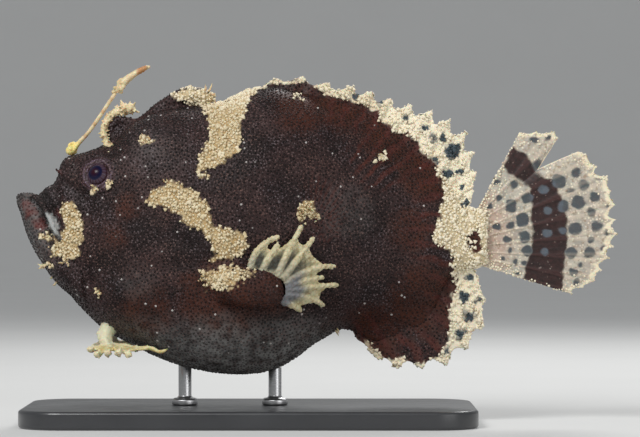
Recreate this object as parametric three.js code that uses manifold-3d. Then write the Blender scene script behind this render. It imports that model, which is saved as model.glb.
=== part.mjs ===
// A life-size spot-tail frogfish on a plain display stand, in millimetres.
// The fish faces -X, its back is towards +Z and its left flank faces -Y.
// The origin is the middle of the stand's underside.
import * as THREE from "three";
import { mergeVertices } from "three/addons/utils/BufferGeometryUtils.js";
import Module from "manifold-3d";

const wasm = await Module();
wasm.setup();

// Driving sizes
const GAP = 0.3; // clear space between neighbouring solids
const SNOUT_X = -39.6; // front of the head, above the mouth
const BODY_END_X = 47; // rear end of the tail stalk
const BODY_RINGS = 30;
const BODY_SIDES = 32; // points round each ring
const SNOUT_ROUND = 3.2; // depth of the rounding at the front of the head
const MEMBRANE = 0.27; // half thickness of a fin's membrane
const RAY = 0.32; // height of a ray above the membrane, on each face

const LEFT = -1;
const RIGHT = 1;
const { lerp, clamp, smoothstep } = THREE.MathUtils;
const at = (x, y, z) => new THREE.Vector3(x, y, z);

// Colours
const finish = (color, roughness = 0.6) => new THREE.MeshStandardMaterial({ color, roughness, metalness: 0 });
const skinBrown = finish(0x33221f, 0.5);
const finCream = finish(0xd8caa0, 0.6);
const lureYellow = finish(0xdcc48a, 0.6);
const eyeDark = finish(0x1a1a3c, 0.1);
const standGrey = finish(0x2a2b2d, 0.4);

// A smooth function through [place, value] pairs, cubic between neighbours and level beyond the ends.
function smoothLine(pairs) {
  const last = pairs.length - 1;
  const slopes = pairs.map((_, i) => {
    const [before, after] = [pairs[Math.max(i - 1, 0)], pairs[Math.min(i + 1, last)]];
    return (after[1] - before[1]) / (after[0] - before[0]);
  });
  return (place) => {
    const x = clamp(place, pairs[0][0], pairs[last][0]);
    let i = 0;
    while (i < last - 1 && x > pairs[i + 1][0]) i += 1;
    const [[x0, y0], [x1, y1]] = [pairs[i], pairs[i + 1]];
    const width = x1 - x0;
    const t = (x - x0) / width;
    const [t2, t3] = [t * t, t * t * t];
    return (
      y0 * (2 * t3 - 3 * t2 + 1) +
      y1 * (3 * t2 - 2 * t3) +
      width * (slopes[i] * (t3 - 2 * t2 + t) + slopes[i + 1] * (t3 - t2))
    );
  };
}

// A smooth curve in space through a few points, with the value that goes with each, such as a radius.
function smoothPath(points, values) {
  const curve = new THREE.CatmullRomCurve3(points, false, "centripetal");
  const value = smoothLine(values.map((v, i) => [i / (values.length - 1), v]));
  return { point: (t) => curve.getPoint(t), tangent: (t) => curve.getTangent(t), value };
}

// A closed mesh of rings, each with the same number of points, with a fan over both ends.
function loft(rings) {
  const sides = rings[0].length;
  const points = rings.flat();
  const faces = [];
  for (let r = 0; r < rings.length - 1; r += 1) {
    for (let s = 0; s < sides; s += 1) {
      const [a, b] = [r * sides + s, r * sides + ((s + 1) % sides)];
      faces.push(a, b, a + sides, b, b + sides, a + sides);
    }
  }
  for (const [first, turn] of [[0, false], [(rings.length - 1) * sides, true]]) {
    const middle = new THREE.Vector3();
    for (let s = 0; s < sides; s += 1) middle.addScaledVector(points[first + s], 1 / sides);
    const centre = points.push(middle) - 1;
    for (let s = 0; s < sides; s += 1) {
      const [a, b] = [first + s, first + ((s + 1) % sides)];
      faces.push(...(turn ? [centre, a, b] : [centre, b, a]));
    }
  }
  return new THREE.BufferGeometry().setFromPoints(points).setIndex(faces);
}

// A closed slab: a middle surface of two parameters, thickened along one axis, with both faces split alike.
function slab(columns, rows, middle, half, axis) {
  const points = [];
  for (const side of [1, -1]) {
    for (const u of columns) {
      for (const v of rows) points.push(middle(u, v).addScaledVector(axis, side * half(u, v)));
    }
  }
  const [nu, nv] = [columns.length, rows.length];
  const index = (side, i, j) => side * nu * nv + i * nv + j;
  const faces = [];
  const quad = (a, b, c, d) => faces.push(a, b, c, a, c, d);
  for (let i = 0; i < nu - 1; i += 1) {
    for (let j = 0; j < nv - 1; j += 1) {
      const [a, b, c, d] = [[i, j], [i + 1, j], [i + 1, j + 1], [i, j + 1]];
      quad(index(0, ...a), index(0, ...b), index(0, ...c), index(0, ...d));
      faces.push(index(1, ...a), index(1, ...c), index(1, ...b));
      faces.push(index(1, ...a), index(1, ...d), index(1, ...c));
    }
  }
  const rim = [];
  for (let i = 0; i < nu - 1; i += 1) rim.push([i, 0]);
  for (let j = 0; j < nv - 1; j += 1) rim.push([nu - 1, j]);
  for (let i = nu - 1; i > 0; i -= 1) rim.push([i, nv - 1]);
  for (let j = nv - 1; j > 0; j -= 1) rim.push([0, j]);
  rim.forEach((a, k) => {
    const b = rim[(k + 1) % rim.length];
    quad(index(0, ...b), index(0, ...a), index(1, ...a), index(1, ...b));
  });
  return new THREE.BufferGeometry().setFromPoints(points).setIndex(faces);
}

// A tapered tube along a smooth path, its rings kept square to the path and level with one direction.
function tube(path, steps, sides, level = at(0, 1, 0), blunt = 0.5) {
  const rings = [];
  for (let k = 0; k <= steps; k += 1) {
    const t = k / steps;
    const across = level.clone().cross(path.tangent(t)).normalize();
    const other = path.tangent(t).cross(across);
    const radius = path.value(t) * (k === 0 || k === steps ? blunt : 1);
    const ring = [];
    for (let s = 0; s < sides; s += 1) {
      const turn = (2 * Math.PI * s) / sides;
      ring.push(
        path.point(t)
          .addScaledVector(across, radius * Math.cos(turn))
          .addScaledVector(other, radius * Math.sin(turn)),
      );
    }
    rings.push(ring);
  }
  return solid(loft(rings));
}

// A three.js geometry as a manifold-3d solid, turned face out.
function solid(geometry, place = new THREE.Matrix4()) {
  const bare = geometry.clone().applyMatrix4(place);
  bare.deleteAttribute("normal");
  bare.deleteAttribute("uv");
  const merged = mergeVertices(bare, 1e-4);
  const triVerts = new Uint32Array(merged.index.array);
  const vertProperties = new Float32Array(merged.attributes.position.array);
  const made = new wasm.Manifold(new wasm.Mesh({ numProp: 3, vertProperties, triVerts }));
  if (made.volume() > 0) return made;
  for (let i = 0; i < triVerts.length; i += 3) {
    [triVerts[i + 1], triVerts[i + 2]] = [triVerts[i + 2], triVerts[i + 1]];
  }
  return new wasm.Manifold(new wasm.Mesh({ numProp: 3, vertProperties, triVerts }));
}

const join = (...solids) => solids.reduce((whole, next) => whole.add(next));
const cut = (whole, ...tools) => tools.reduce((left, tool) => left.subtract(tool), whole);

// The largest closed body of a solid, as a named mesh.
function piece(name, whole, material) {
  const bodies = whole.decompose().sort((a, b) => b.volume() - a.volume());
  const made = bodies[0].getMesh();
  const geometry = new THREE.BufferGeometry();
  geometry.setAttribute("position", new THREE.BufferAttribute(new Float32Array(made.vertProperties), 3));
  geometry.setIndex(new THREE.BufferAttribute(new Uint32Array(made.triVerts), 1));
  geometry.computeVertexNormals();
  const mesh = new THREE.Mesh(geometry, material);
  mesh.name = name;
  return mesh;
}

// A ball, or an egg with other radii along X, Y and Z.
function ball(centre, radius, sides = 16, stretch = at(1, 1, 1)) {
  const place = new THREE.Matrix4().compose(centre, new THREE.Quaternion(), stretch);
  return solid(new THREE.SphereGeometry(radius, sides, Math.round(sides * 0.6)), place);
}

// The part of space on the side of a plane that its normal points to, as a big box.
const HALF_SPACE = 300;
function beyond(point, normal) {
  const turn = new THREE.Quaternion().setFromUnitVectors(at(0, 0, 1), normal.clone().normalize());
  const centre = point.clone().addScaledVector(normal.clone().normalize(), HALF_SPACE / 2);
  const place = new THREE.Matrix4().compose(centre, turn, at(1, 1, 1));
  return solid(new THREE.BoxGeometry(HALF_SPACE, HALF_SPACE, HALF_SPACE), place);
}

// Body
// Height of the back, height of the belly and half width, each along X.
const backLine = smoothLine([
  [-39.6, 52.2], [-36.5, 53.4], [-30, 55.4], [-23, 60.2], [-16, 63], [-7, 63.8],
  [1, 67], [6, 67.2], [16, 63.6], [28, 56.2], [38, 47.4], [43, 43.8], [48, 42.6],
]);
const bellyLine = smoothLine([
  [-39.6, 31], [-37, 26.8], [-30, 19.4], [-22, 14.8], [-14, 11.4], [-2, 9.6],
  [6, 11], [14, 16.4], [20, 19.6], [32, 24], [40, 29.2], [48, 31.6],
]);
const halfWidth = smoothLine([
  [-39.6, 8], [-34, 10.4], [-26, 13.6], [-16, 16.2], [-4, 17], [6, 15.4],
  [16, 11.8], [26, 8], [36, 5], [43, 3], [48, 2.2],
]);
const widestShare = smoothLine([[-40, 0.45], [-10, 0.42], [20, 0.46], [48, 0.5]]);
const squareAbove = smoothLine([[-40, 2.8], [-26, 2.8], [0, 2.1], [48, 1.9]]);
const SQUARE_BELOW = 2.3;

function section(x, grow = 0) {
  const [top, bottom] = [backLine(x) + grow, bellyLine(x) - grow];
  const middle = lerp(bottom, top, widestShare(x));
  return { top, bottom, middle, width: halfWidth(x) + grow };
}

// Half width of the body's skin at a place on its side.
function flank(x, z) {
  const { top, bottom, middle, width } = section(x);
  const above = z > middle;
  const share = clamp(above ? (z - middle) / (top - middle) : (middle - z) / (middle - bottom), 0, 1);
  const power = above ? squareAbove(x) : SQUARE_BELOW;
  return width * (1 - share ** power) ** (1 / power);
}

// The body is a row of rings along X, each an egg-shaped superellipse, drawn in to a blunt snout.
const SNOUT_POWER = 2.4;
function bodyShape(grow = 0) {
  const rings = [];
  const [front, back] = [SNOUT_X - grow, BODY_END_X + grow];
  for (let k = 0; k < BODY_RINGS; k += 1) {
    const step = (k + 0.5) / (BODY_RINGS - 0.5);
    const x = front + (back - front) * (1 - Math.cos((step * Math.PI) / 2));
    const { top, bottom, middle, width } = section(x, grow);
    const inward = clamp(1 - (x - front) / (SNOUT_ROUND + grow), 0, 1);
    const draw = (1 - inward ** SNOUT_POWER) ** (1 / SNOUT_POWER);
    const ring = [];
    for (let s = 0; s < BODY_SIDES; s += 1) {
      const turn = (2 * Math.PI * s) / BODY_SIDES;
      const [c, n] = [Math.cos(turn), Math.sin(turn)];
      const power = 2 / (n > 0 ? squareAbove(x) : SQUARE_BELOW);
      const rise = Math.sign(n) * Math.abs(n) ** power * (n > 0 ? top - middle : middle - bottom);
      ring.push(at(x, draw * width * Math.sign(c) * Math.abs(c) ** power, middle + draw * rise));
    }
    rings.push(ring);
  }
  return solid(loft(rings));
}
const body = bodyShape();
const bodyClear = bodyShape(GAP);

// Jaws
// A jaw is a scoop: each section runs from a point on its upper line to one on its lower line.
const JAW_POWER = 2.2;
function scoop(upper, lower, widths, grow = 0) {
  const [count, sides] = [10, 18];
  const line = (pairs) => smoothPath(pairs.map(([x, z]) => at(x, 0, z)), pairs.map(() => 0));
  const [above, below] = [line(upper), line(lower)];
  const width = smoothLine(widths);
  const rings = [];
  for (let k = 0; k < count; k += 1) {
    const t = ((k + 0.3) / (count - 0.7)) ** 1.5; // closer together towards the tip of the jaw
    const [a, b] = [above.point(t), below.point(t)];
    const middle = a.clone().add(b).multiplyScalar(0.5);
    const rise = a.clone().sub(b).multiplyScalar(0.5);
    rise.setLength(rise.length() + grow);
    const ring = [];
    for (let s = 0; s < sides; s += 1) {
      const turn = (2 * Math.PI * s) / sides;
      const [c, n] = [Math.cos(turn), Math.sin(turn)];
      const out = Math.sign(c) * Math.abs(c) ** (2 / JAW_POWER) * (width(t) + grow);
      const up = Math.sign(n) * Math.abs(n) ** (2 / JAW_POWER);
      ring.push(middle.clone().addScaledVector(rise, up).add(at(0, out, 0)));
    }
    rings.push(ring);
  }
  return solid(loft(rings));
}

const CORNER = at(-37.6, 0, 36.6); // corner of the mouth, in side view
const LOWER_LIP = [[-46.2, 45.3], [-43.9, 45.7], [-41.2, 44.3], [-39.3, 41], [-37.4, 36.4]];
const CHIN = [[-46.7, 44], [-45.6, 41.2], [-44, 36.6], [-41.6, 32.2], [-37.9, 27.2]];
const UPPER_LIP = [[-41.6, 45.4], [-40.3, 44.2], [-39.1, 42.2], [-38.2, 39.8], [-37.7, 37]];
const SNOUT_FOLD = [[-41.7, 46.2], [-40.6, 47.2], [-39.6, 47.6], [-38.4, 47.6], [-36.6, 46]];
const LIP_RADIUS = 0.7;
const [UPPER_LIP_LIFT, LOWER_LIP_LIFT] = [0.2, -0.1]; // how far each lip's middle lies above its line

// A lip is a tube round the front of the mouth, from corner to corner, thinner at the corners.
const LIP_INSET = 0.94; // half width of the lip, as a share of the jaw's
const LIP_CORNER = 0.6; // radius at the corners, as a share
function lip(line, widths, radius, lift) {
  const side = smoothPath(line.map(([x, z]) => at(x, 0, z)), line.map(() => 0));
  const width = smoothLine(widths);
  const half = [];
  for (const t of [0, 0.06, 0.2, 0.4, 0.6, 0.8, 0.96]) {
    half.push(side.point(t).add(at(0, width(t) * LIP_INSET, lift)));
  }
  const mirrored = half.slice(1).map((p) => at(p.x, -p.y, p.z));
  const points = [...half.reverse(), ...mirrored];
  const ends = points.map((_, i) => radius * (i === 0 || i === points.length - 1 ? LIP_CORNER : 1));
  const path = smoothPath(points, ends);
  return tube(path, 22, 6, at(0, 0, 1), 1);
}

const LOWER_WIDTHS = [[0, 1.2], [0.1, 3.6], [0.25, 5.8], [0.5, 8], [0.75, 9.2], [1, 9.9]];
const UPPER_WIDTHS = [[0, 0.9], [0.1, 3.2], [0.25, 5.2], [0.5, 7], [0.75, 8], [1, 8.6]];
const upperJaw = join(
  scoop(SNOUT_FOLD, UPPER_LIP, UPPER_WIDTHS),
  lip(UPPER_LIP, UPPER_WIDTHS, LIP_RADIUS, UPPER_LIP_LIFT),
);
const upperJawClear = join(
  scoop(SNOUT_FOLD, UPPER_LIP, UPPER_WIDTHS, GAP),
  lip(UPPER_LIP, UPPER_WIDTHS, LIP_RADIUS + GAP, UPPER_LIP_LIFT),
);
const lowerJaw = cut(
  join(scoop(LOWER_LIP, CHIN, LOWER_WIDTHS), lip(LOWER_LIP, LOWER_WIDTHS, LIP_RADIUS, LOWER_LIP_LIFT)),
  upperJawClear,
  beyond(CORNER.clone().add(at(-GAP / 2, 0, 0)), at(1, 0, -0.03)),
);

// Eyes
const EYE = at(-29.8, 0, 49.6); // place of the left eye on the side of the head
const EYE_RADIUS = 2.4;
const EYE_SUNK = 1.3; // how far the ball's centre lies under the skin
const LID_RING = 2.75;
const LID_RADIUS = 0.55;

// The outward normal of the body's side.
function outward(x, z, side) {
  const step = 0.2;
  const dx = (flank(x + step, z) - flank(x - step, z)) / (2 * step);
  const dz = (flank(x, z + step) - flank(x, z - step)) / (2 * step);
  return at(-dx, side, -dz).normalize();
}
const onFlank = (x, z, side, lift = 0) =>
  at(x, side * flank(x, z), z).addScaledVector(outward(x, z, side), lift);

function eyeCentre(side) {
  return onFlank(EYE.x, EYE.z, side, -EYE_SUNK);
}
const eyeball = (side, grow = 0) => ball(eyeCentre(side), EYE_RADIUS + grow, 16);

// The raised lid is a ring that lies on the skin round the eye.
function lid(side) {
  const turn = new THREE.Quaternion().setFromUnitVectors(at(0, 0, 1), outward(EYE.x, EYE.z, side));
  const place = new THREE.Matrix4().compose(onFlank(EYE.x, EYE.z, side, 0.1), turn, at(1, 1, 1));
  return solid(new THREE.TorusGeometry(LID_RING, LID_RADIUS, 6, 18), place);
}

// Two short nostril tubes in front of each eye.
const NOSTRILS = [[-38.2, 50.4], [-35, 51.2]];
function nostrils(side) {
  return NOSTRILS.map(([x, z]) => {
    const turn = new THREE.Quaternion().setFromUnitVectors(at(0, 1, 0), outward(x, z, side));
    const place = new THREE.Matrix4().compose(onFlank(x, z, side, 0.15), turn, at(1, 1, 1));
    return solid(new THREE.CylinderGeometry(0.38, 0.62, 1.3, 6), place);
  });
}

// Head, trunk and tail stalk: the body, parted by thin cuts.
const NECK = at(-25.5, 0, 38); // a point on the cut behind the head
const NECK_NORMAL = at(1, 0, -0.23);
const STALK_X = 40; // the cut in front of the tail stalk
const forward = NECK_NORMAL.clone().negate();

const sockets = join(eyeball(LEFT, GAP), eyeball(RIGHT, GAP));
// The jaws fill the space in front of the mouth's corners, below the fold of the snout.
const FOLD_Z = 47.5;
const mouthSpace = beyond(CORNER.clone().add(at(GAP, 0, 0)), at(-1, 0, 0.03)).intersect(
  beyond(at(0, 0, FOLD_Z), at(0, 0, -1)),
);
const headPlain = cut(
  body.intersect(beyond(NECK.clone().addScaledVector(forward, GAP / 2), forward)),
  mouthSpace,
);
const head = cut(
  join(headPlain, lid(LEFT), lid(RIGHT), ...nostrils(LEFT), ...nostrils(RIGHT)),
  sockets,
  upperJawClear,
);
const trunk = body
  .intersect(beyond(NECK.clone().addScaledVector(NECK_NORMAL, GAP / 2), NECK_NORMAL))
  .intersect(beyond(at(STALK_X - GAP / 2, 0, 0), at(-1, 0, 0)));
const tailStalk = body.intersect(beyond(at(STALK_X + GAP / 2, 0, 0), at(1, 0, 0)));

// Fins
// A fin is a fan of rays: each ray runs from its root to its tip, and the margin dips between the tips.
// Distances across a fin are shares of the space between two rays.
const RAY_WIDTH = 0.2;
const FORK_WIDTH = 0.22; // half width of the notch at a split ray's tip
const FORK_SPREAD = 0.25; // how far a split ray's two branches move apart
function fan(rays, dip, options = {}) {
  const { steps = 4, rows = 5, split = 0, fleshy = 0, wave = () => 0, tear } = options;
  const axis = at(0, 1, 0);
  const root = smoothPath(rays.map((r) => at(r[0], 0, r[1])), rays.map(() => 0));
  const tip = smoothPath(rays.map((r) => at(r[2], 0, r[3])), rays.map(() => 0));
  const last = rays.length - 1;
  const nearest = (u) => Math.abs(u - Math.round(u));
  const reach = (u) => {
    const notch = dip * Math.sin(Math.PI * nearest(u)) ** 1.4;
    const fork = split ? split * Math.max(0, 1 - nearest(u) / FORK_WIDTH) : 0;
    const torn = tear ? tear.depth * Math.max(0, 1 - Math.abs(u - tear.at) / tear.width) : 0;
    return 1 - notch - fork - torn;
  };
  const middle = (u, v) => {
    const [a, b] = [root.point(u / last), tip.point(u / last)];
    const p = a.lerp(b, v * reach(u));
    p.y += wave(u, v);
    return p;
  };
  const half = (u, v) => {
    const spread = split ? FORK_SPREAD * smoothstep(v, 0.35, 0.9) : 0;
    const off = Math.abs(nearest(u) - spread);
    const flesh = fleshy * Math.max(0, 1 - v / 0.5) ** 2;
    return MEMBRANE + flesh + RAY * (1 - 0.45 * v) * Math.max(0, 1 - off / RAY_WIDTH);
  };
  const columns = [];
  for (let i = 0; i <= last * steps; i += 1) columns.push(i / steps);
  const rowList = [];
  for (let j = 0; j <= rows; j += 1) rowList.push(j / rows);
  return solid(slab(columns, rowList, middle, half, axis));
}

// Each ray: root x, root z, tip x, tip z. Roots lie inside the body, and the body's clear shape trims them.
const DORSAL_RAYS = [
  [-2, 61, -1, 66.4], [2, 62, 5, 69], [6, 62, 10.6, 69.4], [10, 61, 15.4, 68], [14, 59.6, 20.6, 67.4],
  [18, 57.6, 24.4, 66.4], [21.5, 55.4, 28.2, 65], [25, 53, 32.2, 63.8], [28.5, 50.4, 36.4, 62.6],
  [31.5, 48, 40, 60.8], [34.5, 45.6, 43.2, 58.2], [37, 43.6, 44.6, 54.4], [39.4, 42, 45.4, 50.2],
  [41.4, 40.8, 44.8, 46.4], [43, 40, 43.6, 43.6],
];
const dorsalFin = cut(
  fan(DORSAL_RAYS, 0.16, { fleshy: 1.4, wave: (u, v) => 0.5 * v * Math.sin(u * 1.3) }),
  bodyClear,
);
const ANAL_RAYS = [
  [17, 25, 21.6, 16.6], [21, 26, 25.6, 12.6], [25, 27.4, 29.6, 10.8], [28.6, 29, 34.4, 10.8],
  [32, 30.6, 39.4, 11.4], [35, 32.2, 43.6, 14.8], [37.6, 33.6, 46.8, 19.2], [39.8, 34.6, 47, 24.4],
  [41.6, 35.2, 45.8, 28.6],
];
const analFin = cut(
  fan(ANAL_RAYS, 0.1, { fleshy: 1.4, wave: (u, v) => 0.5 * v * Math.sin(u * 1.5 + 1) }),
  bodyClear,
);
const TAIL_RAYS = [
  [45.6, 42.6, 54.2, 58.6], [45.8, 41.6, 61.4, 58.8], [46, 40.4, 68, 54], [46.2, 38.8, 72.2, 49.6],
  [46.3, 37.2, 74, 43.8], [46.3, 35.6, 74.4, 38], [46.2, 34.2, 72.4, 33], [46, 33, 69.6, 28.4],
  [45.6, 31.8, 65, 25.6],
];
const tailFin = cut(
  fan(TAIL_RAYS, 0.07, {
    steps: 8,
    split: 0.03,
    tear: { at: 1.5, width: 0.3, depth: 0.34 },
    wave: (u, v) => 1.2 * v * v * Math.sin(u * 0.7 + 0.6),
  }),
  bodyClear,
);

// Pectoral limbs
// The arm lies along the flank, and the hand's fingers spread back and up from the wrist.
// Each place on the arm: x, z and lift off the flank.
const ARM = [[-10, 28.6, -4.5], [-3.5, 27.8, 0.4], [2.5, 27.2, 1.6], [7, 26.6, 1.9]];
const ARM_TALL = [3.2, 4.3, 4.3, 3.4];
const ARM_THICK = 0.66; // share of its height
function arm(side, grow = 0) {
  const points = ARM.map(([x, z, lift]) => at(x, side * (flank(x, z) + lift), z));
  const path = smoothPath(points, ARM_TALL);
  const rings = [];
  const [steps, sides] = [12, 14];
  for (let k = 0; k <= steps; k += 1) {
    const t = k / steps;
    const round = Math.sqrt(clamp(1 - (2 * t - 1) ** 6, 0.03, 1));
    const tall = path.value(t) * round + grow;
    const ring = [];
    for (let s = 0; s < sides; s += 1) {
      const turn = (2 * Math.PI * s) / sides;
      ring.push(path.point(t).add(at(0, ARM_THICK * tall * Math.cos(turn), tall * Math.sin(turn))));
    }
    rings.push(ring);
  }
  return solid(loft(rings));
}

// Each finger: root x, z, knuckle x, z, tip x, z.
const FINGERS = [
  [0.2, 30.2, 2, 34.9, 6.2, 37.4], [2.4, 29.8, 4, 33.2, 6, 36], [5.6, 29.4, 7.8, 34.4, 10.6, 39.7],
  [6.6, 28.9, 9.8, 33.2, 12.9, 37.3], [7.1, 28, 12.2, 30.9, 17.1, 31.5], [7.3, 27.4, 11, 28.8, 14.8, 29.4],
  [7.3, 26.8, 12.6, 27.5, 17.7, 27.9], [7.1, 26.1, 11.4, 25.5, 14.9, 23.7], [6.2, 24.7, 8.4, 24, 10.3, 22.8],
];
const FINGER_RADII = [0.66, 0.62, 0.55, 0.52];
const HAND_WEB = { reach: 0.82, dip: 0.12 }; // reach along the fingers and dip between them, as shares
const HAND_LIFT = [1.9, 1.5]; // lift off the flank at the wrist and at the finger tips
function hand(side) {
  const last = FINGERS.length - 1;
  const [root, knuckle, tip] = [0, 2, 4].map((i) =>
    smoothPath(FINGERS.map((f) => at(f[i], 0, f[i + 1])), FINGERS.map(() => 0)),
  );
  const laid = (u, v) => {
    const p = root.point(u / last).multiplyScalar((1 - v) * (1 - 2 * v));
    p.addScaledVector(knuckle.point(u / last), 4 * v * (1 - v));
    p.addScaledVector(tip.point(u / last), v * (2 * v - 1));
    return at(p.x, side * (flank(p.x, p.z) + lerp(HAND_LIFT[0], HAND_LIFT[1], v)), p.z);
  };
  const fingers = FINGERS.map((_, k) =>
    tube(smoothPath([0, 0.35, 0.7, 1].map((v) => laid(k, v)), FINGER_RADII), 3, 5),
  );
  const reach = (u) => HAND_WEB.reach - HAND_WEB.dip * Math.sin(Math.PI * Math.abs(u - Math.round(u)));
  const columns = Array.from({ length: 2 * last + 1 }, (_, i) => i / 2);
  const rows = [0, 0.5, 1];
  const web = solid(slab(columns, rows, (u, v) => laid(u, v * reach(u)), () => MEMBRANE, at(0, 1, 0)));
  return join(web, ...fingers);
}

// Pelvic limbs: a short stalk under the throat with a small spread foot of five toes.
const HIP = at(-26.6, 4.2, 21);
const FOOT = at(-28, 7, 15.9);
const TOES = [
  [-31.2, 8.8, 15], [-29.8, 12.4, 14.2], [-25.6, 14.4, 13.8], [-20.8, 12.8, 14], [-16.4, 10.2, 14.8],
];
const WEB_REACH = [0.05, 0.74]; // the web's inner and outer edge, as shares of the way to the toe tips
function pelvic(side) {
  const heel = at(FOOT.x, side * FOOT.y, FOOT.z);
  const tips = TOES.map(([x, y, z]) => at(x, side * y, z));
  const toes = tips.map((tip) => {
    const points = [0, 0.4, 0.8, 1].map((share) => heel.clone().lerp(tip, share));
    return tube(smoothPath(points, [0.9, 0.62, 0.68, 0.5]), 5, 6, at(0, 0, 1));
  });
  const margin = new THREE.CatmullRomCurve3(tips, false, "centripetal");
  const webMiddle = (u, v) => heel.clone().lerp(margin.getPoint(u), v);
  const columns = Array.from({ length: 13 }, (_, i) => i / 12);
  const web = solid(slab(columns, WEB_REACH, webMiddle, () => MEMBRANE, at(0, 0, 1)));
  const hip = at(HIP.x, side * HIP.y, HIP.z);
  const shin = hip.clone().lerp(heel, 0.55).add(at(-0.5, 0, 0));
  const stalk = tube(smoothPath([hip, shin, heel], [2.4, 2, 1.4]), 6, 12);
  return cut(join(web, stalk, ...toes), bodyClear);
}

// Spines of the first dorsal fin
const ROD = [[-35.4, 54.6], [-34.6, 55.8], [-32.4, 58], [-30.4, 60.8], [-28.4, 63.8], [-26.9, 66]];
const ROD_RADIUS = [0.7, 0.5, 0.42, 0.42, 0.4, 0.4];
const KNOB = at(-35.8, 0, 55);
const inPlane = (pairs) => pairs.map(([x, z]) => at(x, 0, z));
const illicium = cut(
  join(tube(smoothPath(inPlane(ROD), ROD_RADIUS), 14, 6), ball(KNOB, 1.3, 10)),
  bodyClear,
);
const LURE_START = [-26.6, 66.5];
const LURE = [LURE_START, [-25.2, 68.2], [-23.4, 69.6], [-21.4, 70.8], [-19.8, 71.4]];
const LURE_RADIUS = [0.5, 0.8, 0.7, 0.55, 0.35];
const BUDS = [
  [-26.6, 0.3, 68.6, 0.95], [-25.2, -0.6, 67.4, 0.9], [-25.8, 0.8, 67.4, 0.8], [-24.6, 0.2, 69.4, 0.75],
];
const esca = join(
  tube(smoothPath(inPlane(LURE), LURE_RADIUS), 8, 8),
  ...BUDS.map(([x, y, z, r]) => ball(at(x, y, z), r, 8)),
);

const SECOND_SPINE = [
  [-27, 54], [-28.6, 56.2], [-29.2, 58.4], [-28.4, 60.7], [-26.6, 62.2], [-24.7, 63], [-23.3, 62.6],
];
const SECOND_RADIUS = [1.3, 1.15, 1, 1.15, 1.3, 1.35, 0.8];
const WEB = [[-28.6, 55], [-28.8, 58], [-27.6, 60.6], [-25.4, 61.8], [-23.6, 61.4], [-22.6, 59], [-25, 55]];
const webShape = new THREE.Shape(WEB.map(([x, z]) => new THREE.Vector2(x, z)));
const WEB_HALF = 0.4;
const webPlace = new THREE.Matrix4().makeRotationX(Math.PI / 2).setPosition(0, WEB_HALF, 0);
const secondSpine = cut(
  join(
    tube(smoothPath(inPlane(SECOND_SPINE), SECOND_RADIUS), 14, 10),
    solid(new THREE.ExtrudeGeometry(webShape, { depth: 2 * WEB_HALF, bevelEnabled: false }), webPlace),
  ),
  bodyClear,
);

const THIRD_SPINE = [[-21, 61], [-17.4, 63.2], [-14, 65], [-11, 65.5], [-8.6, 65.2], [-6.8, 65]];
const THIRD_RADIUS = [1, 1.6, 1.8, 1.8, 1.4, 0.7];
const thirdSpine = cut(
  tube(smoothPath(inPlane(THIRD_SPINE), THIRD_RADIUS), 14, 12),
  bodyClear,
);

// Display stand: a flat base and two rods, each with a small collar.
const BASE = { length: 90, width: 46, thick: 3.6, corner: 9, bevel: 0.5 };
const ROD_PLACES = [-13, 5];
const STAND_ROD = { radius: 1.3, collar: 2.6, collarTall: 1.4, tall: 22 };
function baseShape() {
  const [x, y, r] = [BASE.length / 2 - BASE.bevel, BASE.width / 2 - BASE.bevel, BASE.corner];
  const outline = new THREE.Shape();
  outline.moveTo(-x + r, -y).lineTo(x - r, -y).absarc(x - r, -y + r, r, -Math.PI / 2, 0);
  outline.absarc(x - r, y - r, r, 0, Math.PI / 2).absarc(-x + r, y - r, r, Math.PI / 2, Math.PI);
  outline.absarc(-x + r, -y + r, r, Math.PI, 1.5 * Math.PI);
  const settings = {
    depth: BASE.thick - 2 * BASE.bevel,
    bevelThickness: BASE.bevel,
    bevelSize: BASE.bevel,
    bevelSegments: 1,
    curveSegments: 6,
  };
  const place = new THREE.Matrix4().makeTranslation(0, 0, BASE.bevel);
  return solid(new THREE.ExtrudeGeometry(outline, settings), place);
}
function standRod(x) {
  const upright = new THREE.Matrix4().makeRotationX(Math.PI / 2);
  const column = (radius, tall) => {
    const place = upright.clone().setPosition(x, 0, BASE.thick + GAP + tall / 2);
    return solid(new THREE.CylinderGeometry(radius, radius, tall, 20), place);
  };
  const shaft = column(STAND_ROD.radius, STAND_ROD.tall);
  const collar = column(STAND_ROD.collar, STAND_ROD.collarTall);
  return cut(join(shaft, collar), bodyClear);
}

const frogfish = new THREE.Group();
frogfish.add(
  piece("head", head, skinBrown),
  piece("upper_jaw", cut(upperJaw, cut(bodyClear, mouthSpace)), skinBrown),
  piece("lower_jaw", lowerJaw, skinBrown),
  piece("trunk", trunk, skinBrown),
  piece("tail_stalk", tailStalk, finCream),
  piece("fin_dorsal", dorsalFin, finCream),
  piece("fin_anal", analFin, finCream),
  piece("fin_tail", tailFin, finCream),
  piece("illicium", illicium, lureYellow),
  piece("esca", esca, lureYellow),
  piece("dorsal_spine_2", secondSpine, lureYellow),
  piece("dorsal_spine_3", thirdSpine, finCream),
  piece("stand_base", baseShape(), standGrey),
  piece("stand_rod_front", standRod(ROD_PLACES[0]), standGrey),
  piece("stand_rod_rear", standRod(ROD_PLACES[1]), standGrey),
);
for (const [side, label] of [[LEFT, "left"], [RIGHT, "right"]]) {
  frogfish.add(
    piece("eye_" + label, eyeball(side), eyeDark),
    piece("arm_" + label, cut(arm(side), bodyClear), skinBrown),
    piece("fin_pectoral_" + label, cut(hand(side), arm(side, GAP), bodyClear), finCream),
    piece("fin_pelvic_" + label, pelvic(side), finCream),
  );
}
export default frogfish;
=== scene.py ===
"""A life-size spot-tail frogfish on a plain display stand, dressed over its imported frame.

Shapes are worked out in millimetres, in the frame's own axes: the fish faces -X, its back is
towards +Z, and its left flank, the one in the photograph, faces -Y.
"""
import math

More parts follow.
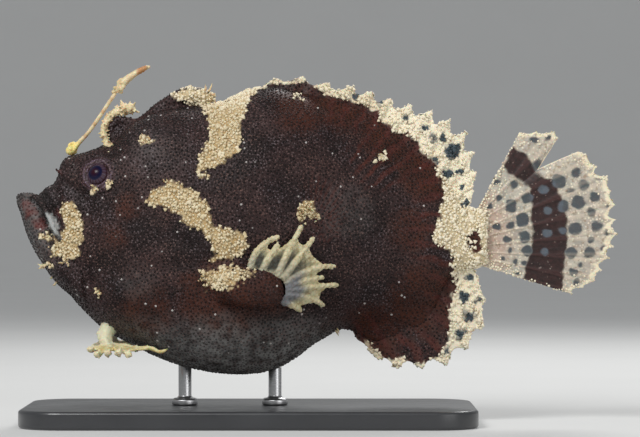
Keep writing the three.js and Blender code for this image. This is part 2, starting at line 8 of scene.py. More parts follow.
import bpy
import numpy as np
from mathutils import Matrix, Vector
from mathutils.bvhtree import BVHTree
from mathutils.kdtree import KDTree


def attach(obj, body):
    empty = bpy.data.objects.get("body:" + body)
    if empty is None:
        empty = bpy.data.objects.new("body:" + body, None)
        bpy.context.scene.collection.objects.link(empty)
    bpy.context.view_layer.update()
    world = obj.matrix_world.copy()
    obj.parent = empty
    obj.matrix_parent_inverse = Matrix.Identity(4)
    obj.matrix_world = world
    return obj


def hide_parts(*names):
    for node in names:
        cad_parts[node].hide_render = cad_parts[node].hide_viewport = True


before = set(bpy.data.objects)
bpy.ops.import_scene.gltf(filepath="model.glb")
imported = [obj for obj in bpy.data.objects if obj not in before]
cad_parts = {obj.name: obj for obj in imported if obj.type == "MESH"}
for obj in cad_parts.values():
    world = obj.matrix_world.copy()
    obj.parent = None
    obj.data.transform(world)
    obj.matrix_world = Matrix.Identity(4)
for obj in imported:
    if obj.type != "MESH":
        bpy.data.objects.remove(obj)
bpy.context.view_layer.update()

MM = 0.001
RANDOM_SEED = 11
FAR = 1e9
TINY = 1e-9
UP = (0, 0, 1)
SIDES = {"left": -1, "right": 1}

# The photograph's own scale: a place in it, in pixels, as a place in the fish's middle plane
PHOTO_MM = 0.2
PHOTO_ORIGIN = (250, 423)
PHOTO_SIZE = (640, 437)


def from_photo(places):
    """Places in the photograph, in pixels, as rows of x and z in millimetres."""
    pixels = np.asarray(places, float)
    return np.stack([pixels[:, 0] - PHOTO_ORIGIN[0], PHOTO_ORIGIN[1] - pixels[:, 1]], axis=1) * PHOTO_MM


def add(name, data):
    """A new object in the scene."""
    made = bpy.data.objects.new(name, data)
    bpy.context.scene.collection.objects.link(made)
    return made


# Camera and light
CAMERA_DISTANCE = 620
SENSOR = 36
NEAR_CLIP = 0.01
LIT_PLACE = (0.01, 0, 0.04)
# Each soft box: its place, its size in metres and its power in watts
LIGHTS = {
    "key_light": ((-0.2, -0.34, 0.4), 0.22, 2.2),
    "fill_light": ((0.38, -0.4, 0.12), 0.3, 0.5),
    "rim_light": ((0.12, 0.32, 0.36), 0.2, 1.3),
}
WORLD = {"Color": (0.9, 0.93, 0.96, 1), "Strength": 0.2}


def set_camera():
    """A long lens level with the fish's middle, square to its left flank, framed as the photograph is."""
    camera = bpy.data.cameras.new("camera")
    camera.sensor_width = SENSOR
    camera.lens = SENSOR * CAMERA_DISTANCE / (PHOTO_SIZE[0] * PHOTO_MM)
    camera.clip_start = NEAR_CLIP
    holder = add("camera", camera)
    x, z = from_photo([(PHOTO_SIZE[0] / 2, PHOTO_SIZE[1] / 2)])[0]
    holder.location = (x * MM, -CAMERA_DISTANCE * MM, z * MM)
    holder.rotation_euler = (math.radians(90), 0, 0)
    bpy.context.scene.camera = holder


def set_light():
    """A broad key from above on the left, a fill from low in front, a back light, and a pale world."""
    for name, (place, size, power) in LIGHTS.items():
        lamp = bpy.data.lights.new(name, "AREA")
        lamp.size = size
        lamp.energy = power
        holder = add(name, lamp)
        holder.location = place
        holder.rotation_euler = (Vector(LIT_PLACE) - Vector(place)).to_track_quat("-Z", "Y").to_euler()
    world = bpy.data.worlds.new("studio")
    bpy.context.scene.world = world
    world.use_nodes = True
    for name, value in WORLD.items():
        world.node_tree.nodes["Background"].inputs[name].default_value = value


# Meshes
def smooth_mesh(name, points, faces):
    """A smooth-shaded mesh from points in millimetres and faces."""
    mesh = bpy.data.meshes.new(name)
    mesh.from_pydata(np.asarray(points, float) * MM, [], [list(map(int, f)) for f in faces])
    mesh.update()
    mesh.polygons.foreach_set("use_smooth", [True] * len(mesh.polygons))
    return mesh


def piece(name, points, faces, material, slot, *replaced):
    """An object with its material, riding on the part in place of the CAD nodes it names; the slot is not
    used.
    """
    made = add(name, smooth_mesh(name, points, faces))
    made.data.materials.append(material)
    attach(made, "root")
    if replaced:
        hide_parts(*replaced)
    return made


def store(made, **fields):
    """Keeps one number for each vertex under each name, for the materials to read."""
    for name, values in fields.items():
        layer = made.data.attributes.new(name, "FLOAT", "POINT")
        layer.data.foreach_set("value", np.ascontiguousarray(values, np.float32))


def threes(source, name, kind=np.float32):
    """Three numbers from each element of a mesh, one row each."""
    flat = np.empty(len(source) * 3, kind)
    source.foreach_get(name, flat)
    return flat.reshape(-1, 3)


def vertices(made):
    """An object's vertices in millimetres, one row each."""
    return threes(made.data.vertices, "co").astype(float) / MM


def normals(made):
    """The outward direction at each vertex."""
    return threes(made.data.vertex_normals, "vector").astype(float)


def triangles(made):
    """An object's faces as rows of three vertex numbers."""
    made.data.calc_loop_triangles()
    return threes(made.data.loop_triangles, "vertices", np.int32)


def move(made, rows):
    """Puts an object's vertices at new places in millimetres."""
    made.data.vertices.foreach_set("co", (rows * MM).astype(np.float32).ravel())
    made.data.update()


def dice(seed=0):
    """Random numbers that are the same on every run, with an order of their own for each seed."""
    return np.random.default_rng(RANDOM_SEED + seed)


def circle(count):
    """Equal steps once round, in radians."""
    return np.linspace(0, 2 * np.pi, count, endpoint=False)


def line(pairs):
    """A smooth function through [place, value] pairs: cubic between neighbours, its slope at each the
    slope from the one before to the one after."""
    table = np.asarray(pairs, float)
    place, value = table[:, 0], table[:, 1:]
    count = len(place)
    before, after = np.maximum(np.arange(count) - 1, 0), np.minimum(np.arange(count) + 1, count - 1)
    slope = (value[after] - value[before]) / (place[after] - place[before])[:, None]

    def at(wanted):
        x = np.clip(np.asarray(wanted, float), place[0], place[-1])
        i = np.clip(np.searchsorted(place, x, side="right") - 1, 0, count - 2)
        width = (place[i + 1] - place[i])[..., None]
        t = (x - place[i])[..., None] / width
        made = (
            value[i] * (2 * t**3 - 3 * t**2 + 1)
            + value[i + 1] * (3 * t**2 - 2 * t**3)
            + width * (slope[i] * (t**3 - 2 * t**2 + t) + slope[i + 1] * (t**3 - t**2))
        )
        return made[..., 0] if value.shape[1] == 1 else made

    return at


def path(points):
    """A smooth curve in space through points, asked for by a share from 0 to 1 of its points."""
    rows = np.asarray(points, float)
    return line(np.column_stack([np.linspace(0, 1, len(rows)), rows]))


def blend(values, share):
    """Numbers spread evenly along a path, read at a share of it."""
    return path(np.asarray(values, float)[:, None])(share)


def flat_path(pairs):
    """Rows of x and z as points in the fish's middle plane."""
    table = np.asarray(pairs, float)
    return np.column_stack([table[:, 0], 0 * table[:, 0], table[:, 1]])


def unit(rows):
    """Rows scaled to length one."""
    return rows / np.maximum(np.linalg.norm(rows, axis=-1, keepdims=True), TINY)


def bent(value, power):
    """A value's size raised to a power, with its sign kept."""
    return np.sign(value) * np.abs(value) ** power


def step_up(value, low, high):
    """0 below low, 1 above high, and a smooth rise between."""
    t = np.clip((value - low) / (high - low), 0, 1)
    return t * t * (3 - 2 * t)


def ripple(rows, pitch, seed=0):
    """A smooth irregular field between about -1 and 1: five waves of near pitch, each its own way."""
    rng = dice(seed)
    total = np.zeros(len(rows))
    for direction, phase in zip(unit(rng.normal(size=(5, 3))), rng.uniform(0, 6.28, 5)):
        total += np.sin(rows @ direction * (2 * np.pi / pitch) * rng.uniform(0.7, 1.4) + phase)
    return total / 3


def ring_faces(count, sides, joined=False):
    """Four-sided faces from each ring of points to the next, and from the last to the first if joined."""
    r, s = np.meshgrid(np.arange(count - 1 + joined), np.arange(sides), indexing="ij")
    here, onward, n = r * sides, (r + 1) % count * sides, (s + 1) % sides
    return np.stack([here + s, here + n, onward + n, onward + s], axis=-1).reshape(-1, 4)


def closed_rings(rings):
    """A closed mesh over an array of rings (ring, side, xyz), with a fan over both ends."""
    count, sides = rings.shape[:2]
    points = np.concatenate([rings.reshape(-1, 3), rings[0].mean(0)[None], rings[-1].mean(0)[None]])
    s = np.arange(sides)
    n = (s + 1) % sides
    last = (count - 1) * sides
    first_cap = np.stack([np.full(sides, count * sides), n, s], axis=1)
    last_cap = np.stack([np.full(sides, count * sides + 1), last + s, last + n], axis=1)
    return points, ring_faces(count, sides).tolist() + first_cap.tolist() + last_cap.tolist()


def closed_slab(front, back):
    """A closed mesh between two grids of points of one size, joined round their rims."""
    nu, nv = front.shape[:2]
    points = np.concatenate([front.reshape(-1, 3), back.reshape(-1, 3)])
    i, j = np.meshgrid(np.arange(nu - 1), np.arange(nv - 1), indexing="ij")
    a = (i * nv + j).ravel()
    top = np.stack([a, a + nv, a + nv + 1, a + 1], axis=1)
    under = top[:, ::-1] + nu * nv
    rim = np.concatenate([
        np.arange(nu) * nv, (nu - 1) * nv + np.arange(1, nv),
        np.arange(nu - 2, -1, -1) * nv + nv - 1, np.arange(nv - 2, 0, -1),
    ])
    onward = np.roll(rim, -1)
    wall = np.stack([onward, rim, rim + nu * nv, onward + nu * nv], axis=1)
    return points, np.concatenate([top, under, wall]).tolist()


def turned(profile, sides, x=0):
    """Rings of a profile, rows of radius and height, turned about an upright axis at x."""
    radius, height = np.asarray(profile, float).T[:, :, None]
    turn = circle(sides)[None, :]
    return np.stack([x + radius * np.cos(turn), radius * np.sin(turn), height + 0 * turn], axis=-1)


def ball(sides, around, pole):
    """Rings of a ball of radius one, that stop short of its poles by an angle."""
    polar = np.linspace(pole, np.pi - pole, sides)
    return turned(np.column_stack([np.sin(polar), np.cos(polar)]), around)


def egg(centre, radii, sides=14):
    """A ball with its own radius along each axis."""
    return closed_rings(np.asarray(centre, float) + ball(sides, sides + 2, 0.12) * np.asarray(radii, float))


def tube(points, radii, steps=40, sides=16, level=(0, 1, 0)):
    """Round rings carried along a smooth path, square to it and drawn in at both ends to a blunt tip."""
    share = np.linspace(0, 1, steps + 1)
    centre = path(points)(share)
    along = unit(np.gradient(centre, axis=0))
    across = unit(np.cross(level, along))
    other = np.cross(along, across)
    ends = np.minimum(share, 1 - share) * steps / 3
    radius = blend(radii, share) * np.sqrt(np.clip(1 - (1 - np.clip(ends, 0, 1)) ** 2, 0.06, 1))
    turn = circle(sides)
    out = np.cos(turn)[None, :, None] * across[:, None] + np.sin(turn)[None, :, None] * other[:, None]
    return closed_rings(centre[:, None] + radius[:, None, None] * out)


def together(shapes):
    """Several meshes as one list of points and one of faces."""
    points, faces, start = [], [], 0
    for some_points, some_faces in shapes:
        points.append(some_points)
        faces += [[v + start for v in face] for face in some_faces]
        start += len(some_points)
    return np.concatenate(points), faces


# Each melted surface: the size of its grid in millimetres, and how many times it is smoothed
SURFACES = {
    "skin": (0.4, 5), "hand": (0.17, 2), "foot": (0.2, 3),
    "rod": (0.13, 2), "lure": (0.12, 1), "spine": (0.12, 1),
}


def melt(name, shapes, surface, material, slot, *replaced):
    """Closed shapes that run into one another, made one continuous surface and smoothed."""
    voxel, rounds = SURFACES[surface]
    made = piece(name, *together(shapes), material, slot, *replaced)
    remesh = made.modifiers.new("one_surface", "REMESH")
    remesh.mode = "VOXEL"
    remesh.voxel_size = voxel * MM
    remesh.use_smooth_shade = True
    smooth = made.modifiers.new("smooth", "SMOOTH")
    smooth.factor = 0.5
    smooth.iterations = rounds
    ready = made.evaluated_get(bpy.context.evaluated_depsgraph_get())
    mesh = bpy.data.meshes.new_from_object(ready)
    made.modifiers.clear()
    made.data = mesh
    mesh.materials.clear()
    mesh.materials.append(material)
    mesh.polygons.foreach_set("use_smooth", [True] * len(mesh.polygons))
    return made


def roughen(made, depth, pitch):
    """Moves a surface in and out by a ripple, and gives its new vertices in millimetres."""
    rows = vertices(made)
    rows = rows + normals(made) * (depth * ripple(rows, pitch, 9))[:, None]
    move(made, rows)
    return rows


def facing_out(made):
    """Turns a closed piece's faces outwards."""
    rows, faces = vertices(made), triangles(made)
    a, b, c = rows[faces[:, 0]], rows[faces[:, 1]], rows[faces[:, 2]]
    if np.einsum("ij,ij->i", a, np.cross(b, c)).sum() < 0:
        made.data.flip_normals()
    return made


# Distances in side view, in millimetres
def distance_to_line(rows, corners):
    """How far each place is from a line through corners."""
    x, z = rows[:, 0], rows[:, 2]
    nearest = np.full(len(rows), FAR)
    for (x0, z0), (x1, z1) in zip(corners[:-1], corners[1:]):
        dx, dz = x1 - x0, z1 - z0
        share = np.clip(((x - x0) * dx + (z - z0) * dz) / (dx * dx + dz * dz), 0, 1)
        nearest = np.minimum(nearest, np.hypot(x - x0 - share * dx, z - z0 - share * dz))
    return nearest


def polygon_depth(rows, outline):
    """How far each place is inside a closed outline in the photograph, negative outside it."""
    x, z = rows[:, 0], rows[:, 2]
    corners = from_photo([*outline, outline[0]])
    inside = np.zeros(len(rows), bool)
    for (x0, z0), (x1, z1) in zip(corners[:-1], corners[1:]):
        crosses = (z0 > z) != (z1 > z)
        inside ^= crosses & (x < x0 + (z - z0) * (x1 - x0) / (z1 - z0 or TINY))
    return distance_to_line(rows, corners) * np.where(inside, 1, -1)


def disc_depth(rows, discs):
    """How far each place is inside the nearest of some round spots in the photograph, negative outside."""
    depth = np.full(len(rows), -FAR)
    for (x, z), (_, _, radius) in zip(from_photo(discs), discs):
        depth = np.maximum(depth, radius * PHOTO_MM - np.hypot(rows[:, 0] - x, rows[:, 2] - z))
    return depth


# Body form
# Height of the back, height of the belly and half width, each along the fish
back_line = line([
    [-39.6, 52.2], [-36.5, 53.4], [-30, 55.4], [-23, 60.2], [-16, 63], [-7, 63.8],
    [1, 67], [6, 67.2], [16, 63.6], [28, 56.2], [38, 47.4], [43, 43.8], [48, 42.6],
])
belly_line = line([
    [-39.6, 31], [-37, 26.8], [-30, 19.4], [-22, 14.8], [-14, 11.4], [-2, 9.6],
    [6, 11], [14, 16.4], [20, 19.6], [32, 24], [40, 29.2], [48, 31.6],
])
half_width = line([
    [-39.6, 8], [-34, 10.4], [-26, 13.6], [-16, 16.2], [-4, 17], [6, 15.4],
    [16, 11.8], [26, 8], [36, 5], [43, 3], [48, 2.2],
])
widest_share = line([[-40, 0.45], [-10, 0.42], [20, 0.46], [48, 0.5]])
square_above = line([[-40, 2.8], [-26, 2.8], [0, 2.1], [48, 1.9]])
SQUARE_BELOW = 2.3
SNOUT_X = -39.6
TAIL_X = 47.3
SNOUT_ROUND = 3.2
SNOUT_POWER = 2.4
FIRST_RING = 0.3  # how far before the first whole step the rings begin
INSET = 0.12  # how far the skin lies inside the solids, to leave room for its granules
# The fleshy ridges that carry the soft fins: side, height, half width, and where along X each rises
# and falls
RIDGES = [(1, 3.6, 1.1, (8, 22), (38, 42)), (-1, 7.0, 1.5, (17, 26), (35, 41))]


def flank(x, z):
    """Half width of the body at a place in side view: a superellipse of its own height at each x."""
    top, bottom = back_line(x), belly_line(x)
    middle = bottom + (top - bottom) * widest_share(x)
    above = z > middle
    share = np.clip(np.where(above, (z - middle) / (top - middle), (middle - z) / (middle - bottom)), 0, 1)
    power = np.where(above, square_above(x), SQUARE_BELOW)
    return half_width(x) * (1 - share**power) ** (1 / power)


def outward(x, z, side, step=0.2):
    """The direction square to the body's flank, from its slopes over a step each way."""
    dx = (flank(x + step, z) - flank(x - step, z)) / (2 * step)
    dz = (flank(x, z + step) - flank(x, z - step)) / (2 * step)
    return unit(np.stack([-dx, np.broadcast_to(float(side), np.shape(dx)), -dz], axis=-1))


def on_flank(x, z, side, lift=0.0):
    """A place on the body's flank, lifted off it square to the skin."""
    x, z = np.asarray(x, float), np.asarray(z, float)
    return np.stack([x, side * flank(x, z), z], axis=-1) + outward(x, z, side) * np.asarray(lift)[..., None]


def ring_shares(count):
    """Shares of a length for its rings, from just after its start to its end."""
    return (np.arange(count) + FIRST_RING) / (count - 1 + FIRST_RING)


def body_rings(count=130, sides=110):
    """Egg-shaped superellipses along X, closer at the snout, each drawn in to round the front, with a
    narrow fleshy ridge above and below where the soft fins grow."""
    x = SNOUT_X + INSET + (TAIL_X - SNOUT_X - INSET) * (1 - np.cos(ring_shares(count) * np.pi / 2))
    top, bottom = back_line(x) - INSET, belly_line(x) + INSET
    width = half_width(x) - INSET
    middle = bottom + (top - bottom) * widest_share(x)
    inward = np.clip(1 - (x - SNOUT_X - INSET) / SNOUT_ROUND, 0, 1)
    draw = (1 - inward**SNOUT_POWER) ** (1 / SNOUT_POWER)
    turn = circle(sides)[None, :]
    c, n = np.cos(turn), np.sin(turn)
    power = 2 / np.where(n > 0, square_above(x)[:, None], SQUARE_BELOW)
    reach = np.where(n > 0, (top - middle)[:, None], (middle - bottom)[:, None])
    y = (draw * width)[:, None] * bent(c, power)
    z = middle[:, None] + draw[:, None] * (bent(n, power) * reach)
    for side, tall, wide, rise, fall in RIDGES:
        share = step_up(x, *rise) * (1 - step_up(x, *fall))
        z += side * tall * np.exp(-np.abs(y) / wide) * (side * n > 0.5) * share[:, None]
    return closed_rings(np.stack([np.broadcast_to(x[:, None], y.shape), y, z], axis=-1))


# Jaws: each is a scoop whose sections run from a point on its upper line to one on its lower line
LOWER_LIP = [[-46.2, 45.3], [-43.9, 45.7], [-41.2, 44.3], [-39.3, 41], [-37.4, 36.4]]
CHIN = [[-46.7, 44], [-45.6, 41.2], [-44, 36.6], [-41.6, 32.2], [-37.9, 27.2]]
UPPER_LIP = [[-41.6, 45.4], [-40.3, 44.2], [-39.1, 42.2], [-38.2, 39.8], [-37.7, 37]]
SNOUT_FOLD = [[-41.7, 46.2], [-40.6, 47.2], [-39.6, 47.6], [-38.4, 47.6], [-36.6, 46]]
LOWER_WIDTHS = [[0, 1.2], [0.1, 3.6], [0.25, 5.8], [0.5, 8], [0.75, 9.2], [1, 9.9]]
UPPER_WIDTHS = [[0, 0.9], [0.1, 3.2], [0.25, 5.2], [0.5, 7], [0.75, 8], [1, 8.6]]
LIP_RADIUS = 0.66
JAW_SQUARE = 2.2
# Each jaw runs on into the head, so that they melt together: a last point for both lines, and its half width
LOWER_RUN = ([-33, 34], [-32.6, 23.4], 10.6)
UPPER_RUN = ([-33, 45], [-33, 37], 9.4)


def scoop(upper, lower, widths, run, count=80, sides=60):
    """Superellipse sections between two lines in the middle plane, as wide as the table says."""
    share = ring_shares(count) ** 1.5
    above, below = path(upper + [run[0]])(share), path(lower + [run[1]])(share)
    jaw_share = (len(upper) - 1) / len(upper)
    widths = [[at * jaw_share, width] for at, width in widths] + [[1, run[2]]]
    middle, rise = (above + below) / 2, (above - below) / 2
    turn = circle(sides)[None, :, None]
    out = bent(np.cos(turn), 2 / JAW_SQUARE) * line(widths)(share)[:, None, None]
    flat = middle[:, None] + rise[:, None] * bent(np.sin(turn), 2 / JAW_SQUARE)
    return closed_rings(np.concatenate([flat[..., :1], out, flat[..., 1:]], axis=-1))


def lip(upper_line, widths, radius, lift):
    """A soft tube round the front of the mouth, from one corner to the other."""
    share = np.array([0, 0.06, 0.2, 0.4, 0.6, 0.8, 0.96])
    flat = path(upper_line)(share)
    half = np.column_stack([flat[:, 0], line(widths)(share) * 0.94, flat[:, 1] + lift])
    points = np.concatenate([half[::-1], half[1:] * [1, -1, 1]])
    return tube(points, [radius * 0.6] + [radius] * (len(points) - 2) + [radius * 0.6], 90, 14, UP)


EYE = (-29.8, 49.6)
EYE_RADIUS = 2.4
EYE_SUNK = 1.05
# The soft rings round the eye: distance from its middle, radius, lift off the flank
LIDS = [(2.75, 0.42, 0.05), (3.65, 0.34, -0.1)]
NOSTRILS = [(-38.2, 50.4), (-35, 51.2)]


def eye_axes(side):
    """Three directions at the eye: two along the skin, and the one out of the flank."""
    out = outward(np.array(EYE[0]), np.array(EYE[1]), side)
    first = unit(np.cross(out, UP))
    return first, np.cross(out, first), out


def lid(side, ring, radius, lift, count=60, sides=16):
    """A soft ring that lies on the skin round the eye, a circle in the plane that touches the flank there."""
    first, second, out = eye_axes(side)
    turn, round_it = circle(count)[:, None, None], circle(sides)[None, :, None]
    spoke = np.cos(turn) * first + np.sin(turn) * second
    centre = on_flank(*EYE, side, lift)
    rings = centre + spoke * (ring + radius * np.cos(round_it)) + out * radius * np.sin(round_it)
    return rings.reshape(-1, 3), ring_faces(count, sides, True).tolist()


def nostril(x, z, side):
    """A short tube with a rounded rim."""
    foot, rim = on_flank(x, z, side, -0.5), on_flank(x, z, side, 0.75)
    return tube([foot, (foot + rim) / 2, rim], [0.6, 0.5, 0.42], 10, 12, UP)


ARM = [(-10, 28.6, -4.5), (-3.5, 27.8, 0.4), (2.5, 27.2, 1.6), (7, 26.6, 1.9)]  # x, z, lift off the flank
ARM_TALL = [3.1, 4.2, 4.2, 3.3]
ARM_THICK = 0.66


def arm(side):
    """A flattened lobe along the flank: ellipses that stand up along a path, rounded at both ends."""
    x, z, lift = np.asarray(ARM, float).T
    share = np.linspace(0, 1, 50)
    tall = blend(ARM_TALL, share) * np.sqrt(np.clip(1 - (2 * share - 1) ** 6, 0.03, 1))
    turn = circle(48)[None, :]
    across, up = ARM_THICK * tall[:, None] * np.cos(turn), tall[:, None] * np.sin(turn)
    middle = path(np.column_stack([x, side * (flank(x, z) + lift), z]))(share)
    return closed_rings(middle[:, None] + np.stack([0 * across, across, up], axis=-1))


HUMP = [
    [-28.1, 56.6], [-27.9, 58.7], [-26.8, 60.3], [-24.4, 60.3], [-22.6, 60.0], [-20.2, 61.2],
    [-17.4, 63.2], [-14, 65],
    [-11, 65.5], [-8.6, 65.2], [-6.8, 65],
]
HUMP_RADIUS = [0.9, 1.0, 1.1, 1.1, 1.1, 1.3, 1.6, 1.8, 1.8, 1.4, 0.7]
NAPE = [[-27.2, 56], [-26.0, 57.8], [-23.8, 58.6], [-21, 59.6]]
NAPE_RADIUS = [0.9, 1.3, 1.5, 1.5]
# A dip across the top of the head, on both sides of the crest: its x, half width and depth, the heights
# over which it sets in, and the distances from the middle plane over which it does
SADDLE = (-27.0, 2.0, 1.3)
SADDLE_HIGH = (52.5, 54.5)
SADDLE_OUT = (0.9, 2.2)
SKIN_SUNK = 0.13
SKIN_RIPPLE = 0.10
# Creases in side view, in the photograph's pixels, each with its depth and half width in millimetres
CREASES = [
    ([(86, 192), (93, 214), (92, 236), (86, 260), (92, 280)], 0.5, 1.3),
    ([(60, 176), (70, 184), (84, 196)], 0.35, 1.0),
    ([(148, 268), (170, 262), (200, 262), (236, 254)], 0.35, 1.6),
    ([(226, 300), (250, 318), (282, 322), (300, 312)], 0.4, 1.6),
    ([(176, 222), (180, 236), (196, 246)], 0.4, 1.5),
    ([(112, 150), (130, 138), (152, 128)], 0.25, 1.2),
    ([(40, 226), (54, 246), (66, 262)], 0.25, 0.8),
]


def crease(rows):
    """How far the skin dips at each place: a soft furrow along each crease."""
    dip = np.zeros(len(rows))
    for places, depth, width in CREASES:
        dip += depth * np.exp(-((distance_to_line(rows, from_photo(places)) / width) ** 2))
    return dip


# Markings, as outlines in the photograph's pixels
CREAM_PATCHES = {
    "cheek": [(64, 201), (78, 202), (83, 212), (88, 222), (88, 235), (84, 250), (80, 259), (73, 257),
              (70, 266),
              (66, 256), (56, 256), (53, 248), (58, 241), (43, 236), (50, 231), (62, 239), (66, 228),
              (65, 215)],
    "hump": [(170, 96), (190, 86), (214, 92), (218, 102), (226, 100), (240, 86), (262, 78), (300, 78),
             (300, 84),
             (262, 87), (252, 98), (243, 120), (243, 140), (238, 155), (226, 165), (216, 170), (200, 173),
             (200, 160), (204, 150), (210, 140), (209, 122), (202, 107), (186, 104)],
    "flank": [(147, 201), (158, 190), (172, 180), (188, 186), (205, 197), (212, 206), (216, 226),
              (232, 227),
              (248, 232), (252, 243), (247, 251), (230, 261), (221, 258), (212, 242), (206, 232),
              (190, 226),
              (178, 213), (165, 209), (155, 207)],
    "arm": [(199, 271), (210, 267), (235, 261), (252, 267), (262, 272), (246, 280), (238, 287), (224, 291),
            (209, 289), (204, 280)],
    "rear": [(298, 80), (325, 95), (350, 101), (375, 112), (380, 122), (395, 133), (405, 134), (415, 143),
             (420, 152), (432, 162), (440, 180), (443, 192), (440, 208), (436, 222), (431, 232), (434, 242),
             (445, 249), (452, 256), (449, 265), (453, 276), (456, 284), (450, 296), (449, 330), (446, 345),
             (438, 353), (425, 361), (412, 364), (402, 358), (392, 360), (382, 355), (373, 346), (364, 337),
             (362, 384), (505, 384), (505, 50), (298, 50)],
}
# Smaller cream tufts: place and radius in the photograph's pixels
CREAM_DOTS = [
    (308, 209, 9), (303, 217, 5), (313, 216, 5), (381, 158, 5), (148, 141, 5), (154, 143, 4), (143, 145, 3),
    (54, 266, 4.5), (47, 270, 6), (103, 291, 4.5), (99, 190, 4), (114, 183, 3.5), (107, 140, 4),
    (111, 148, 4),
    (110, 134, 3), (296, 96, 3), (300, 100, 3), (216, 258, 5), (44, 235, 3), (80, 285, 2), (206, 176, 4),
]
HEAD_PATCHES = ("cheek",)  # these stay on the flanks, and don't cross the front of the face
STALK_BLOTCH = [(474, 238, 5), (477, 247, 3.5), (470, 245, 2.5), (476, 231, 2.5)]
MOUTH_WHITE = [(49, 213), (55, 212), (60, 222), (64, 238), (57, 235), (52, 225)]
# Painted shade: along the slit and over the shadowed hollow of the upper jaw, the mouth is laid near black
MOUTH_SLIT = [(38, 198), (46, 202), (54, 211), (60, 226)]
MOUTH_HOLLOW = [(39, 196), (44, 190), (50, 186), (55, 188), (58, 200), (62, 228), (56, 216), (46, 204)]
RED_BLOTCHES = [(33, 212, 6), (42, 223, 6), (28, 205, 5), (47, 221, 4), (60, 215, 4), (60, 172, 3)]
# Broad soft zones of the brown: maroon, a painted bluish-grey sheen, and painted shade in the hollows
WARM_ZONES = [
    (392, 132, 28), (428, 172, 26), (340, 106, 22), (300, 112, 20), (425, 300, 34), (372, 336, 28),
    (222, 298, 38),
    (132, 206, 9), (118, 238, 9), (268, 292, 20), (150, 310, 22), (410, 230, 18), (475, 241, 12),
]
# Painted sheen: soft pale bluish-grey patches where the wet skin catches the light
PAINTED_SHEEN_ZONES = [(141, 282, 15), (218, 338, 26), (346, 212, 24), (296, 336, 22), (152, 146, 13)]
# Painted shade: spots where the brown is darkened because the skin lies in a hollow, as above the arm
PAINTED_SHADE_ZONES = [(192, 244, 24), (92, 200, 14), (118, 262, 12), (250, 150, 20), (150, 232, 14)]
GREY_SPOTS = [
    (432, 137, 3), (453, 152, 7), (435, 161, 3), (448, 175, 5), (464, 205, 3), (425, 128, 3), (405, 118, 4),
    (380, 104, 3), (355, 96, 3), (444, 138, 3), (460, 172, 4), (462, 190, 3), (470, 277, 4.5),
    (463, 296, 5),
    (469, 317, 6), (460, 334, 5), (448, 352, 3), (478, 300, 3), (430, 364, 2),
]
# The range of millimetres over which each mark fades in: of depth in its outline, distance, x or height
FADES = {
    "cream": (0.1, 0.55), "spot": (-0.2, 0.2), "white": (-0.2, 0.3), "red": (-0.5, 0.5),
    "zone": (-2.4, 1.6),
    "hollow": (-0.6, 0.5), "slit": (0.7, 1.3), "eye": (3.1, 3.7), "jaw_front": (37, 42),
    "jaw_low": (-50, -44),
    "belly_low": (-24, -11), "belly_rear": (14, 24), "streak_cream": (-7, -2.5), "streak_rear": (8, 18),
    "bleach_rear": (14, 34), "bleach_high": (61, 65),
}
OUTLINE_WAVES = [(0.42, 2.6, 1), (0.26, 1.1, 4)]  # depth, pitch and first seed
STREAK_HUB = (12, 38)  # the maroon streaks at the soft fins' roots fan out from here
STREAK_RATE = 50
RING_RATE = 9.5
# How far a mark on the head is held back from the front of the face, where the skin turns to face forwards
HELD_BACK = 9
TURNED = 0.55
HEAD_END = -20


def fade(value, name):
    """0 to 1 as a value rises through the range under a name."""
    return step_up(value, *FADES[name])


